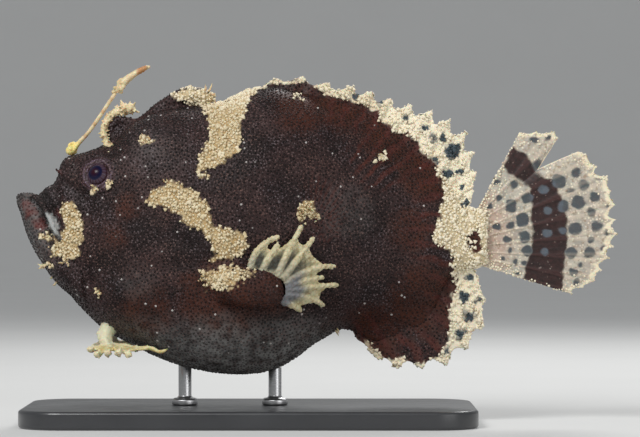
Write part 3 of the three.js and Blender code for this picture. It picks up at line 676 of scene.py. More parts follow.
def markings(rows, out):
    """The skin's markings at each place, each from 0 to 1, from its side view, so that both flanks are
    alike; and how deep in the cream it is, in millimetres."""
    wavy = rows
    for depth, pitch, seed in OUTLINE_WAVES:
        wavy = wavy + depth * np.stack([ripple(rows, pitch, seed + k) for k in range(3)], axis=1)
    x, z = rows[:, 0], rows[:, 2]
    facing = HELD_BACK * np.clip(TURNED - np.abs(out[:, 1]), 0, 1) * (x < HEAD_END)
    cream = disc_depth(wavy, CREAM_DOTS) - facing
    for name, outline in CREAM_PATCHES.items():
        depth = polygon_depth(wavy, outline)
        if name == "arm":
            depth = depth - 0.5 + 0.9 * ripple(rows, 0.9, 9)
        cream = np.maximum(cream, depth - facing if name in HEAD_PATCHES else depth)
    cream = np.minimum(cream, -disc_depth(wavy, STALK_BLOTCH))
    jaw = fade(-x, "jaw_front") * fade(-z, "jaw_low")
    belly = fade(-z, "belly_low") * (1 - fade(x, "belly_rear"))
    zones = (WARM_ZONES, PAINTED_SHEEN_ZONES, PAINTED_SHADE_ZONES)
    warm, sheen, shade = (fade(disc_depth(wavy, discs), "zone") for discs in zones)
    slit = 1 - fade(distance_to_line(rows, from_photo(MOUTH_SLIT)), "slit")
    from_eye = np.hypot(x - EYE[0], z - EYE[1])
    near_eye = 1 - fade(from_eye, "eye")
    turn = np.arctan2(z - STREAK_HUB[1], x - STREAK_HUB[0])
    streak = step_up(np.sin(turn * STREAK_RATE + 0.9 * ripple(rows, 5, 9)), 0.0, 0.9)
    streak = streak * fade(cream, "streak_cream") * fade(x, "streak_rear")
    red = np.maximum(fade(disc_depth(wavy, RED_BLOTCHES) - 0.1 * facing, "red"), 0.35 * near_eye)
    marks = {
        "cream": fade(cream, "cream"),
        "spot": fade(disc_depth(wavy, GREY_SPOTS), "spot"),
        # grey: the jaw's and the belly's own grey, made lighter on the shaded belly as painted light, and a
        # painted sheen in the sheen zones
        "grey": np.clip(0.45 * jaw + belly + 0.12 * sheen, 0, 1),
        # painted shade: near black along the mouth's slit and over the shadowed hollow of the upper jaw
        "mouth": np.maximum(slit, 0.8 * fade(polygon_depth(wavy, MOUTH_HOLLOW), "hollow")),
        "white": fade(polygon_depth(wavy, MOUTH_WHITE), "white"),
        "red": np.maximum(red, 0.5 * streak),
        "warm": np.maximum(warm, streak),
        # painted shade: the hollows' zones, and a darker ring round the sunken eye
        "shade": np.maximum(shade, 0.9 * near_eye),
        "ring": near_eye * step_up(np.sin(from_eye * RING_RATE + ripple(rows, 3, 8)), -0.1, 0.8),
        "bleach": np.maximum(fade(x, "bleach_rear"), 0.6 * fade(z, "bleach_high")),
    }
    return marks, cream


# Materials
class Finish:
    """A material being put together: a Principled shader and the nodes that feed it. An input can be
    a number, a colour, another node's output, or the name of a number stored on the mesh."""

    def __init__(self, name, **constants):
        self.material = bpy.data.materials.new(name)
        self.material.use_nodes = True
        self.tree = self.material.node_tree
        self.shader = self.tree.nodes["Principled BSDF"]
        self.set(self.shader, {key.replace("_", " "): value for key, value in constants.items()})

    def set(self, node, values):
        """Gives a node's inputs their values."""
        for name, value in values.items():
            socket = node.inputs[name]
            if isinstance(value, str):
                value = self.node("Attribute", "Fac", {}, attribute_name=value)
            if isinstance(value, bpy.types.NodeSocket):
                self.tree.links.new(value, socket)
            else:
                socket.default_value = (*value, 1) if socket.type == "RGBA" else value

    def node(self, kind, output, values, **settings):
        """A new node with its settings and inputs, as the output it is wanted for."""
        made = self.tree.nodes.new("ShaderNode" + kind)
        for name, value in settings.items():
            setattr(made, name, value)
        self.set(made, values)
        return made.outputs[output]

    def feed(self, colour, roughness=None, normal=None):
        """Gives the shader its colour and, if they vary, its roughness and bumps: the finished material."""
        values = {"Base Color": colour, "Roughness": roughness, "Normal": normal}
        self.set(self.shader, {name: value for name, value in values.items() if value is not None})
        return self.material

    def place(self):
        """The place in the fish's own axes, in metres."""
        return self.node("TexCoord", "Object", {})

    def noise(self, pitch, detail=3.0):
        """Clouds of a pitch in millimetres."""
        values = {"Vector": self.place(), "Scale": 1 / (pitch * MM), "Detail": detail, "Roughness": 0.55}
        return self.node("TexNoise", "Fac", values)

    def cells(self, pitch, randomness=0.75):
        """The distance from the middle of the nearest of many cells, of a pitch in millimetres."""
        values = {"Vector": self.place(), "Scale": 1 / (pitch * MM), "Randomness": randomness}
        return self.node("TexVoronoi", "Distance", values)

    def range(self, value, low, high, to_low=0.0, to_high=1.0):
        """A value's range from low to high spread from one value to another, and held at both ends."""
        return self.node("MapRange", 0, {0: value, 1: low, 2: high, 3: to_low, 4: to_high})

    def drift(self, pitch, low=0.3, high=0.7, to_low=0.0, to_high=1.0, detail=3.0):
        """Noise, its middle range from low to high spread from one value to another."""
        return self.range(self.noise(pitch, detail), low, high, to_low, to_high)

    def times(self, first, second):
        """The product of two values."""
        return self.node("Math", 0, {0: first, 1: second}, operation="MULTIPLY")

    def most(self, first, second):
        """The greater of two values."""
        return self.node("Math", 0, {0: first, 1: second}, operation="MAXIMUM")

    def mix(self, share, first, second):
        """A colour between two, the second by its share."""
        return self.node("Mix", 2, {0: share, 6: first, 7: second}, data_type="RGBA")

    def wander(self, pitch, first, second, low=0.35, high=0.65, detail=3.0):
        """A colour that wanders between two."""
        return self.mix(self.drift(pitch, low, high, detail=detail), first, second)

    def over(self, colour, *layers):
        """A colour with others laid over it in turn, each given as its share and its tone."""
        for share, tone in layers:
            colour = self.mix(share, colour, tone)
        return colour

    def bump(self, height, depth, strength, under=None):
        """Bumps as deep as depth in millimetres, over others if they are given."""
        values = {"Height": height, "Distance": depth * MM, "Strength": strength}
        return self.node("Bump", "Normal", values if under is None else {**values, "Normal": under})


def flesh(name, gloss, through, depth):
    """A finish for living tissue, with light that passes through it to a depth in millimetres."""
    return Finish(name, Specular_IOR_Level=gloss, Subsurface_Weight=through, Subsurface_Scale=depth * MM)


# Colours, as shares of red, green and blue light
CREAM = (0.59, 0.475, 0.285)
CREAM_PALE = (0.74, 0.655, 0.47)
CREAM_DEEP = (0.44, 0.30, 0.135)
CREAM_BLEACHED = (0.92, 0.84, 0.66)
CREAM_GAP = (0.50, 0.40, 0.235)
GAP_BLEACHED = (0.66, 0.56, 0.37)
SLATE = (0.060, 0.080, 0.092)
MEMBRANE_WHITE = (0.36, 0.37, 0.36)
RED = (0.115, 0.028, 0.024)
# Painted shade: the near black laid in the hollows, round the eye and in the mouth
SHADE_BLACK = (0.0040, 0.0020, 0.0018)
EYE_RING = (0.27, 0.19, 0.26)
NET = ((0.150, 0.086, 0.072), (0.165, 0.132, 0.142))
# Brown, as it is dark, pale, maroon and grey: the skin between the spinules, and the spinules' dark tips
# The grey is also painted light: it lightens the shaded belly and lays the painted sheen
SKIN_TONES = ((0.014, 0.0068, 0.0068), (0.039, 0.020, 0.019), (0.056, 0.0165, 0.009), (0.275, 0.275, 0.265))
TIP_TONES = ((0.004, 0.0018, 0.0015), (0.011, 0.0055, 0.005), (0.016, 0.0056, 0.0038), (0.105, 0.103, 0.100))
TIP_WORN = (0.040, 0.026, 0.025)
TIP_WHITE = (0.42, 0.39, 0.37)
FIN_RAY = (0.085, 0.034, 0.026)
TAIL_MEMBRANE = ((0.36, 0.34, 0.29), (0.54, 0.51, 0.42))
TAIL_ROOT = (0.52, 0.37, 0.29)
TAIL_RAY = (0.70, 0.60, 0.47)
TAIL_FLECK = (0.29, 0.22, 0.145)
TAIL_FROST = (0.82, 0.76, 0.60)
TAIL_RIM = (0.84, 0.76, 0.56)
BAR = ((0.014, 0.0062, 0.0054), (0.042, 0.019, 0.017))
BAR_RAY = (0.075, 0.034, 0.031)
BAR_FROST = (0.42, 0.33, 0.29)
TAIL_SLATE = ((0.052, 0.068, 0.078), (0.11, 0.135, 0.16), (0.045, 0.052, 0.065))
HAND = ((0.43, 0.37, 0.19), (0.64, 0.58, 0.37))
HAND_RAY = (0.64, 0.58, 0.40)
HAND_FLECK = (0.33, 0.235, 0.085)
HAND_WRIST = (0.150, 0.158, 0.185)
HAND_STREAK = (0.030, 0.030, 0.024)
FOOT_YELLOW = ((0.60, 0.50, 0.20), (0.72, 0.66, 0.40))
FOOT_PIT = (0.56, 0.43, 0.165)
FOOT_GREY = (0.64, 0.65, 0.52)
FOOT_KNOB = (0.76, 0.72, 0.53)
LURE_CREAM = ((0.58, 0.45, 0.245), (0.74, 0.64, 0.41))
LURE_ORANGE = (0.42, 0.17, 0.05)
LURE_YELLOW = (0.80, 0.66, 0.24)
SPOKES = ((0.042, 0.018, 0.026), (0.075, 0.052, 0.080))
IRIS_EDGE = (0.030, 0.008, 0.010)
PUPIL_RIM = (0.008, 0.008, 0.030)
PUPIL = ((0.024, 0.003, 0.008), (0.002, 0.003, 0.024))
LACQUER = ((0.030, 0.031, 0.034), (0.042, 0.043, 0.047))
STEEL = ((0.50, 0.50, 0.51), (0.62, 0.62, 0.63))
PAPER = ((0.50, 0.50, 0.49), (0.54, 0.54, 0.53))
PAPER_GLOW = (0.96, 0.98, 1.0)
BRUSH_STRETCH = (60.0, 60.0, 9000.0)


def cream_tones(f):
    """Cream that wanders between pale and ochre, with small rusty flecks."""
    cream = f.wander(1.3, CREAM, CREAM_PALE, 0.34, 0.66)
    fleck = f.drift(0.8, 0.58, 0.75, 0.0, 0.5, 2)
    return f.over(cream, (f.times("bleach", 0.8), CREAM_BLEACHED), (fleck, CREAM_DEEP))


def animal_colour(f, base, cream):
    """The markings that skin, granules and soft fins share, laid over a base colour."""
    return f.over(base, ("cream", cream), (f.times("spot", "cream"), SLATE), ("white", MEMBRANE_WHITE))


def brown(f, tones):
    """Chocolate brown that wanders from dark to pale, maroon in the warm zones, grey on the jaw and the
    belly, a painted grey sheen, red in blotches, and painted shade near black in the hollows, round the eye
    and in the mouth."""
    dark, pale, warm, grey = tones
    return f.over(
        f.wander(6, dark, pale, 0.36, 0.66, 4),
        (f.times("warm", f.drift(3, 0.3, 0.6, 0.4, 1.0)), warm),
        (f.times("grey", f.drift(1.8, 0.35, 0.6, 0.2, 0.9, 4)), grey),
        (f.times("red", f.drift(1.6, 0.3, 0.6, 0.2, 0.85)), RED),
        # painted shade in the hollows and round the eye
        (f.times("shade", 0.6), SHADE_BLACK),
        (f.times("ring", f.range(f.cells(0.5), 0.1, 0.4, 1.0, 0.25)), EYE_RING),
        # painted shade in the mouth
        (f.times("mouth", 0.85), SHADE_BLACK),
    )


def dull(f, low, high):
    """A roughness that wanders between low and high, and is higher still inside the mouth."""
    return f.most(f.drift(0.5, to_low=low, to_high=high), f.times(f.most("mouth", "white"), 0.9))


def net(f, tone):
    """The skin's net: small pale dots between the spinules, over its own tone."""
    dots = f.range(f.cells(0.46, 0.9), 0.12, 0.46, 0.9, 0.0)
    share = f.times(f.drift(2.5, 0.3, 0.6, 0.3, 1.0), f.range("warm", 0, 1, 1, 0.3))
    return f.mix(f.times(dots, share), tone, f.wander(7, *NET, 0.45, 0.62))


def skin_finish():
    """Wet, fine-grained skin between the granules, ochre where the cream tufts stand."""
    f = flesh("skin", 0.2, 0.03, 0.5)
    between = f.over(f.wander(1.0, CREAM_GAP, CREAM_DEEP), (f.times("bleach", 0.85), GAP_BLEACHED))
    colour = animal_colour(f, net(f, brown(f, SKIN_TONES)), between)
    grain = f.bump(f.cells(0.48), 0.09, 0.8)
    return f.feed(colour, dull(f, 0.45, 0.65), f.bump(f.noise(2.2), 0.12, 0.5, grain))


def granule_finish():
    """The spinules' tips: near-black maroon beads on brown skin, knobbly cream in the patches."""
    f = flesh("granules", 0.22, 0.04, 0.4)
    worn, white = f.range("chance", 0.5, 0.98, 0.0, 0.5), f.range("chance", 0.987, 0.991)
    tip = f.over(brown(f, TIP_TONES), (worn, TIP_WORN), (white, TIP_WHITE))
    colour = animal_colour(f, tip, cream_tones(f))
    return f.feed(colour, dull(f, 0.45, 0.68), f.bump(f.noise(0.16, 2), 0.03, 0.6))


def fin_finish():
    """Soft fins: brown or cream as the skin is, with paler rays, slate spots and fine cross-lines."""
    f = flesh("soft_fin", 0.25, 0.2, 0.8)
    base = f.mix(f.range("ray", 0.2, 1.0, 0.0, 0.4), net(f, brown(f, SKIN_TONES)), FIN_RAY)
    colour = animal_colour(f, base, cream_tones(f))
    return f.feed(colour, f.drift(0.6, to_low=0.38, to_high=0.6), f.bump(f.noise(0.34), 0.08, 0.6))


def tail_finish():
    """The tail: greyish membrane, pale rays, a broad brown bar, round slate spots and a cream rim."""
    f = flesh("tail_fin", 0.35, 0.2, 0.8)
    dots = f.range(f.cells(0.62, 1.0), 0.16, 0.42, 0.9, 0.0)
    pale = f.over(
        f.wander(1.6, *TAIL_MEMBRANE),
        (f.times("root", 0.7), TAIL_ROOT),
        (f.range("ray", 0.15, 0.8, 0.0, 0.5), TAIL_RAY),
        (f.drift(0.7, 0.52, 0.68, 0.0, 0.75), TAIL_FLECK),
        (f.times(dots, f.drift(2, 0.32, 0.55)), TAIL_FROST),
    )
    bar = f.over(
        f.wander(0.8, *BAR, 0.3, 0.7),
        (f.range("ray", 0.3, 1.0, 0.0, 0.6), BAR_RAY),
        (f.times(dots, f.drift(1.2, 0.56, 0.7)), BAR_FROST),
    )
    on_pale, on_bar, dark = TAIL_SLATE
    slate = f.mix(f.drift(0.7, to_high=0.35), f.mix("bar", on_pale, on_bar), dark)
    covered = f.times("spot", f.range("ray", 0.2, 1.0, 0.95, 0.7))
    colour = f.over(pale, ("bar", bar), (covered, slate), ("cream", TAIL_RIM))
    return f.feed(colour, f.drift(0.6, to_low=0.42, to_high=0.62), f.bump(f.noise(0.3), 0.07, 0.55))


def hand_finish():
    """The pectoral fan: yellow-cream fingers and webs, slate at the wrist, dark streaks between fingers."""
    f = flesh("hand_fin", 0.35, 0.2, 0.8)
    fleck = f.drift(0.7, 0.54, 0.70, 0.0, 0.65, 2)
    pale = f.over(f.wander(1.2, *HAND), (f.times("ray", 0.4), HAND_RAY), (fleck, HAND_FLECK))
    warts = f.bump(f.noise(0.3), 0.12, 0.8, f.bump(f.cells(0.55), 0.08, 0.6))
    colour = f.over(pale, ("inner", HAND_WRIST), ("streak", HAND_STREAK))
    return f.feed(colour, f.drift(0.6, to_low=0.45, to_high=0.65), warts)


def foot_finish():
    """The pelvic foot: pale yellow and waxy, greyer on the stalk and whiter at the toes' knobs."""
    f = flesh("foot", 0.45, 0.3, 1.2)
    pitted = f.mix(f.range(f.cells(1.3), 0.1, 0.6), FOOT_PIT, f.wander(1.8, *FOOT_YELLOW))
    colour = f.over(pitted, (f.times("tuft", 0.6), FOOT_GREY), (f.times("knob", 0.6), FOOT_KNOB))
    return f.feed(colour, f.drift(0.6, to_low=0.4, to_high=0.6), f.bump(f.noise(0.4), 0.08, 0.6))


def lure_finish():
    """The rod, lure and second spine: cream, with yellow and orange bands along them."""
    f = flesh("lure", 0.45, 0.25, 0.8)
    colour = f.over(f.wander(1.2, *LURE_CREAM), ("band", LURE_ORANGE), ("yellow", LURE_YELLOW))
    return f.feed(colour, f.drift(0.5, to_low=0.38, to_high=0.6), f.bump(f.noise(0.35, 2), 0.08, 0.6))


def eye_finish():
    """A wet eye: a deep blue pupil, a thin bluish ring, and a dark iris with purple-red and blue spokes."""
    f = Finish("eye", Specular_IOR_Level=0.12, Coat_Weight=0.14, Coat_Roughness=0.05, Roughness=0.3)
    iris = f.mix(f.range("ring", 0.82, 0.92), f.mix(f.range("spoke", -0.4, 0.6), *SPOKES), IRIS_EDGE)
    rim = f.mix(f.range("ring", 0.61, 0.66), PUPIL_RIM, iris)
    return f.feed(f.mix(f.range("ring", 0.53, 0.58), f.mix(f.range("ring", 0.1, 0.5), *PUPIL), rim))


def base_finish():
    """Satin charcoal lacquer with a faint orange peel, and fine dust-like variation in its gloss."""
    f = Finish("stand_lacquer", Specular_IOR_Level=0.5, Coat_Weight=0.35, Coat_Roughness=0.2)
    colour = f.wander(14, *LACQUER, 0.3, 0.7, 4)
    return f.feed(colour, f.drift(6, to_low=0.3, to_high=0.42, detail=5), f.bump(f.noise(0.8, 2), 0.02, 0.25))


def rod_finish():
    """Brushed steel, its fine rings running round each rod."""
    f = Finish("stand_steel", Metallic=1.0, Anisotropic=0.5)
    stretched = f.node("Mapping", 0, {"Vector": f.place(), "Scale": BRUSH_STRETCH})
    brush = f.node("TexNoise", "Fac", {"Vector": stretched, "Scale": 1.0, "Detail": 2.0})
    return f.feed(f.mix(brush, *STEEL), f.range(brush, 0.3, 0.7, 0.24, 0.38), f.bump(brush, 0.01, 0.4))


def paper_finish():
    """A matt, pale studio floor."""
    f = Finish(
        "studio_paper", Specular_IOR_Level=0.2, Roughness=0.9,
        Emission_Color=PAPER_GLOW, Emission_Strength=0.14,
    )
    return f.feed(f.mix(f.noise(60, 2), *PAPER))


# Floor and backdrop
FLOOR_RADIUS = 1600
SWEEP_RADIUS = 500
WALL_TOP = 3400
FLOOR_SIDES = 96


def set_stage():
    """A round level floor that sweeps up in a quarter circle all about and on as a wall: a profile turned
    about the vertical, so that every view has the same ground behind it."""
    turn = np.linspace(0, np.pi / 2, 30)
    wall = FLOOR_RADIUS + SWEEP_RADIUS
    out = np.concatenate([[0.1, 400], FLOOR_RADIUS + SWEEP_RADIUS * np.sin(turn), [wall]])
    up = np.concatenate([[0, 0], SWEEP_RADIUS * (1 - np.cos(turn)), [WALL_TOP]])
    rings = turned(np.column_stack([out, up]), FLOOR_SIDES)
    faces = ring_faces(len(out), FLOOR_SIDES)[:, ::-1]
    sweep = add("studio_sweep", smooth_mesh("studio_sweep", rings.reshape(-1, 3), faces))
    sweep.data.materials.append(paper_finish())


# Skin
def make_skin():
    """Body, jaws, lips, lids, nostrils, arms and hump melted into one skin, then creased and marked."""
    shapes = [
        body_rings(),
        scoop(SNOUT_FOLD, UPPER_LIP, UPPER_WIDTHS, UPPER_RUN),
        lip(UPPER_LIP, UPPER_WIDTHS, LIP_RADIUS, 0.2),
        scoop(LOWER_LIP, CHIN, LOWER_WIDTHS, LOWER_RUN),
        lip(LOWER_LIP, LOWER_WIDTHS, LIP_RADIUS, -0.1),
        tube(flat_path(HUMP), HUMP_RADIUS, 60, 30),
        tube(flat_path(NAPE), NAPE_RADIUS, 40, 24),
    ]
    for side in SIDES.values():
        shapes += [arm(side), *(lid(side, *ring) for ring in LIDS)]
        shapes += [nostril(x, z, side) for x, z in NOSTRILS]
    skin = melt(
        "skin", shapes, "skin", skin_finish(), "skin",
        "head", "upper_jaw", "lower_jaw", "trunk", "tail_stalk", "arm_left", "arm_right", "dorsal_spine_3",
    )
    rows = vertices(skin)
    sunk = crease(rows) + SKIN_SUNK + SKIN_RIPPLE * ripple(rows, 7, 7)
    moved = rows - normals(skin) * sunk[:, None]
    place, wide, deep = SADDLE
    dip = deep * np.exp(-(((moved[:, 0] - place) / wide) ** 2)) * step_up(moved[:, 2], *SADDLE_HIGH)
    moved[:, 2] -= dip * step_up(np.abs(moved[:, 1]), *SADDLE_OUT)
    move(skin, moved)
    store(skin, **markings(vertices(skin), normals(skin))[0])
    return skin


# Granules: rings of points from foot to shoulder, each a share of the radius and of the height
GRANULE = {
    "pitch": 0.60, "radius": 0.26, "height": 0.16, "rings": [(1.0, 0.0), (0.78, 0.66)],
    "sides": 5, "star": 0, "vary": 0.2,
}
TUFT = {
    "pitch": 0.50, "radius": 0.31, "height": 0.32, "rings": [(0.85, 0.0), (1.0, 0.5), (0.6, 0.98)],
    "sides": 6, "star": 0.24, "vary": 0.4,
}
FRINGE = {
    "pitch": 0.46, "radius": 0.24, "height": 0.22, "rings": [(0.9, 0.0), (0.9, 0.6)],
    "sides": 5, "star": 0, "vary": 0.25,
}
ROOT_DEPTH = 0.14
BUD_TILT = 0.14
TRIES = 5  # random places tried for each square of the pitch
CREAM_EDGE = (0.05, 0.2)  # how deep in the cream the tufts begin, and how much that varies
SWELL = (0.4, 1.9, 0.55, 1.5)  # how much the tufts swell, the pitch of it, and its least and most
BAKE_PATCH = 0.003
BAKE_NAME = "OFBake"
UNWRAP_START, UNWRAP_LENGTH, UNWRAP_HEIGHT = -48, 124, 72


def search_tree(places):
    """A tree that finds the places near another."""
    tree = KDTree(len(places))
    for k, place in enumerate(places):
        tree.insert(place, k)
    tree.balance()
    return tree


def scatter(made, pitch, seed):
    """Evenly spaced places on a surface, and its outward directions there: random ones by area, thinned so
    that none is nearer than pitch."""
    rows, faces, rng = vertices(made), triangles(made), dice(seed)
    a, b, c = rows[faces[:, 0]], rows[faces[:, 1]], rows[faces[:, 2]]
    cross = np.cross(b - a, c - a)
    area = np.linalg.norm(cross, axis=1) / 2
    count = int(area.sum() / pitch**2 * TRIES)
    chosen = rng.choice(len(faces), count, p=area / area.sum())
    u, v = rng.uniform(size=(2, count))
    flip = u + v > 1
    u, v = np.where(flip, 1 - u, u)[:, None], np.where(flip, 1 - v, v)[:, None]
    places = a[chosen] + u * (b - a)[chosen] + v * (c - a)[chosen]
    tree = search_tree(places)
    free = np.ones(count, bool)
    kept = []
    for k in range(count):
        if free[k]:
            kept.append(k)
            for _, near, _ in tree.find_range(places[k], pitch):
                free[near] = False
    return places[kept], unit(cross[chosen[kept]])


def bud_mesh(places, out, kind, swell, seed):
    """A small bud at each place: rings of points round its axis, drawn in and out by turns to a star,
    from a foot sunk in the skin to a blunt top, no two quite alike in size and tilt."""
    rng, count, sides, vary = dice(seed), len(places), kind["sides"], kind["vary"]
    helper = np.where(np.abs(out[:, :1]) > 0.8, [[0, 0, 1.0]], [[1.0, 0, 0]])
    first = unit(np.cross(out, helper))
    second = np.cross(out, first)
    turn = circle(sides)[None, :] + rng.uniform(0, 6.28, count)[:, None]
    spoke = np.cos(turn)[..., None] * first[:, None] + np.sin(turn)[..., None] * second[:, None]
    spoke = spoke * (1 + kind["star"] * (-1.0) ** np.arange(sides))[None, :, None]
    radius = (kind["radius"] * swell * rng.uniform(1 - vary, 1 + vary, count))[:, None, None]
    tall = (kind["height"] * swell * rng.uniform(1 - 1.5 * vary, 1 + 1.5 * vary, count))[:, None]
    tilt, lean = rng.normal(0, BUD_TILT, (2, count, 1))
    axis = out + first * tilt + second * lean
    rings = []
    for across, up in kind["rings"]:
        lift = axis * tall * up if up else -out * ROOT_DEPTH
        rings.append((places + lift)[:, None] + spoke * radius * across)
    points = np.concatenate(rings + [(places + axis * tall)[:, None]], axis=1)
    s = np.arange(sides)
    low = (len(rings) - 1) * sides
    cap = np.stack([s + low, (s + 1) % sides + low, np.full(sides, low + sides)], axis=1)
    start = (np.arange(count) * points.shape[1])[:, None, None]
    wall = (ring_faces(len(rings), sides)[None] + start).reshape(-1, 4)
    return points, wall.tolist() + (cap[None] + start).reshape(-1, 3).tolist()


def unwrap(places, slot):
    """The body or a fin laid flat for the bake, each flank on its own half: the body along the fish and
    round it from belly to back, a fin in side view."""
    x, y, z = places.T
    if slot == "skin":
        up = np.arctan2(z - (back_line(x) + belly_line(x)) / 2, np.abs(y)) / np.pi + 0.5
    else:
        up = z / UNWRAP_HEIGHT
    return np.stack([(x - UNWRAP_START) / UNWRAP_LENGTH, (up + (y > 0)) / 2], axis=1)


def bake_map(made, roots, kind):
    """The map for the bake: a small patch for each bud, at its root's place on the unwrap."""
    turn = circle(kind["sides"])
    ring = np.stack([np.cos(turn), np.sin(turn)], axis=1) * BAKE_PATCH / 2
    shares = np.linspace(1, 0.4, len(kind["rings"]))
    local = np.concatenate([ring * share for share in shares] + [[[0, 0]]])
    flat = (roots[:, None] * 0.96 + 0.02 + local[None]).reshape(-1, 2)
    layer = made.data.uv_layers.new(name=BAKE_NAME)
    corners = np.empty(len(made.data.loops), np.int32)
    made.data.loops.foreach_get("vertex_index", corners)
    layer.data.foreach_set("uv", flat[corners].astype(np.float32).ravel())


def bud_coat(name, places, out, kind, slot, material, seed):
    """One piece of buds, each with its markings, its own chance number and its patch for the bake."""
    marks, _ = markings(places, out)
    marks["chance"] = dice(seed).uniform(size=len(places))
    marks["cream"] = np.full(len(places), float(kind is not GRANULE))
    depth, pitch, least, most = SWELL
    swell = np.ones(len(places)) if kind is GRANULE else 1 + depth * ripple(places, pitch, seed + 5)
    points, faces = bud_mesh(places, out, kind, np.clip(swell, least, most), seed)
    each = points.shape[1]
    made = piece(name, points.reshape(-1, 3), faces, material, slot)
    store(made, **{key: np.repeat(values, each) for key, values in marks.items()})
    bake_map(made, unwrap(places, slot), kind)


def grow_coat(carrier, name, slot, material, seed, cleared=None):
    """Tufts in the cream patches of a piece and granules on the rest, one piece of each on each flank."""
    rng = dice(seed)
    for kind, label in ((TUFT, "tufts"), (GRANULE, "granules")):
        places, out = scatter(carrier, kind["pitch"], seed + kind["sides"])
        marks, cream_depth = markings(places, out)
        edge, spread = CREAM_EDGE
        in_cream = cream_depth + rng.normal(0, spread, len(places)) > edge
        kept = (in_cream if kind is TUFT else ~in_cream) & (marks["white"] < 0.5)
        if cleared is not None:
            kept &= ~cleared(places)
        for flank_name, side in SIDES.items():
            mine = kept & (places[:, 1] * side >= 0)
            label_name = f"{label}_{name}_{flank_name}"
            bud_coat(label_name, places[mine], out[mine], kind, slot, material, seed + side)


# Fins
# Each ray: root x, root z, tip x, tip z, in millimetres.
DORSAL_RAYS = [
    [-2, 61, -1, 66.4], [2, 62, 5, 69], [6, 62, 10.6, 69.4], [10, 61, 15.4, 68], [14, 59.6, 20.6, 67.4],
    [18, 57.6, 24.4, 66.4], [21.5, 55.4, 28.2, 65], [25, 53, 32.2, 63.8], [28.5, 50.4, 36.4, 62.6],
    [31.5, 48, 40, 60.8], [34.5, 45.6, 43.2, 58.2], [37, 43.6, 44.6, 54.4], [39.4, 42, 45.4, 50.2],
    [41.4, 40.8, 44.8, 46.4], [43, 40, 43.6, 43.6],
]
ANAL_RAYS = [
    [17, 25, 21.6, 16.6], [21, 26, 25.6, 12.6], [25, 27.4, 29.6, 10.8], [28.6, 29, 34.4, 10.8],
    [32, 30.6, 39.4, 11.4], [35, 32.2, 43.6, 14.8], [37.6, 33.6, 46.8, 19.2], [39.8, 34.6, 47, 24.4],
    [41.6, 35.2, 45.8, 28.6],
]
TAIL_RAYS = [
    [45.6, 42.6, 54.2, 58.6], [45.8, 41.6, 61.4, 58.8], [46, 40.4, 68, 54], [46.2, 38.8, 72.2, 49.6],
    [46.3, 37.2, 73.8, 43.8], [46.3, 35.6, 74.2, 38], [46.2, 34.2, 72.4, 33], [46, 33, 69.6, 28.4],
    [45.6, 31.8, 65, 25.6],
]
# Each finger: root x, z, knuckle x, z, tip x, z.
FINGERS = [
    [0.2, 30.2, 2, 34.9, 6.2, 37.4], [2.4, 29.8, 4, 33.2, 6, 36], [5.6, 29.4, 7.8, 34.4, 10.6, 39.7],
    [6.6, 28.9, 9.8, 33.2, 12.9, 37.3], [7.1, 28, 12.2, 30.9, 17.1, 31.5],
    [7.3, 27.4, 11, 28.8, 14.8, 29.4],
    [7.3, 26.8, 12.6, 27.5, 17.7, 27.9], [7.1, 26.1, 11.4, 25.5, 14.9, 23.7],
    [6.2, 24.7, 8.4, 24, 10.3, 22.8],
]
FINGER_RADII = [0.5, 0.64, 0.56, 0.5]
HAND_WEB = (0.82, 0.12)  # shares of a finger: the web's reach, and its dip between fingers
HAND_LIFT = (1.9, 1.5)  # off the flank, at the wrist and at the tips
WEB_HALF = 0.34
LAST_UPPER = (3, 4.5)  # the fingers over which the darker upper part of the hand ends
RIM_DRAWN_IN = 0.035
# The tail's beads: how wide their band along the rim is and how much that varies, its share in the dark
# bar, and the x in front of which they cover the fin
BEAD_BAND = (1.5, 0.9)
BEADS_IN_BAR = 0.25
BEADS_BEFORE = (47.6, 0.9)
# A tear's place among the rays, its half width and its depth
UNTORN = (0, 1, 0)
TAIL_TEAR = (1.5, 0.3, 0.34)
# How a fin's margin, rays and thickness run; the half widths of a fork and a ray are shares of the space
# between two rays, and the margin's width is a share of a ray's length
NOTCH_POWER, TOOTH_POWER = 1.2, 0.8
FORK_HALF, RAY_HALF = 0.2, 0.11
FORK_SPREAD = 6
KNOT_DEPTH, KNOT_RATE = 0.18, 150
WEB_THINS, RAY_THINS = 0.55, 0.6
MARGIN_WIDTH, MARGIN_THIN = 0.03, 0.05


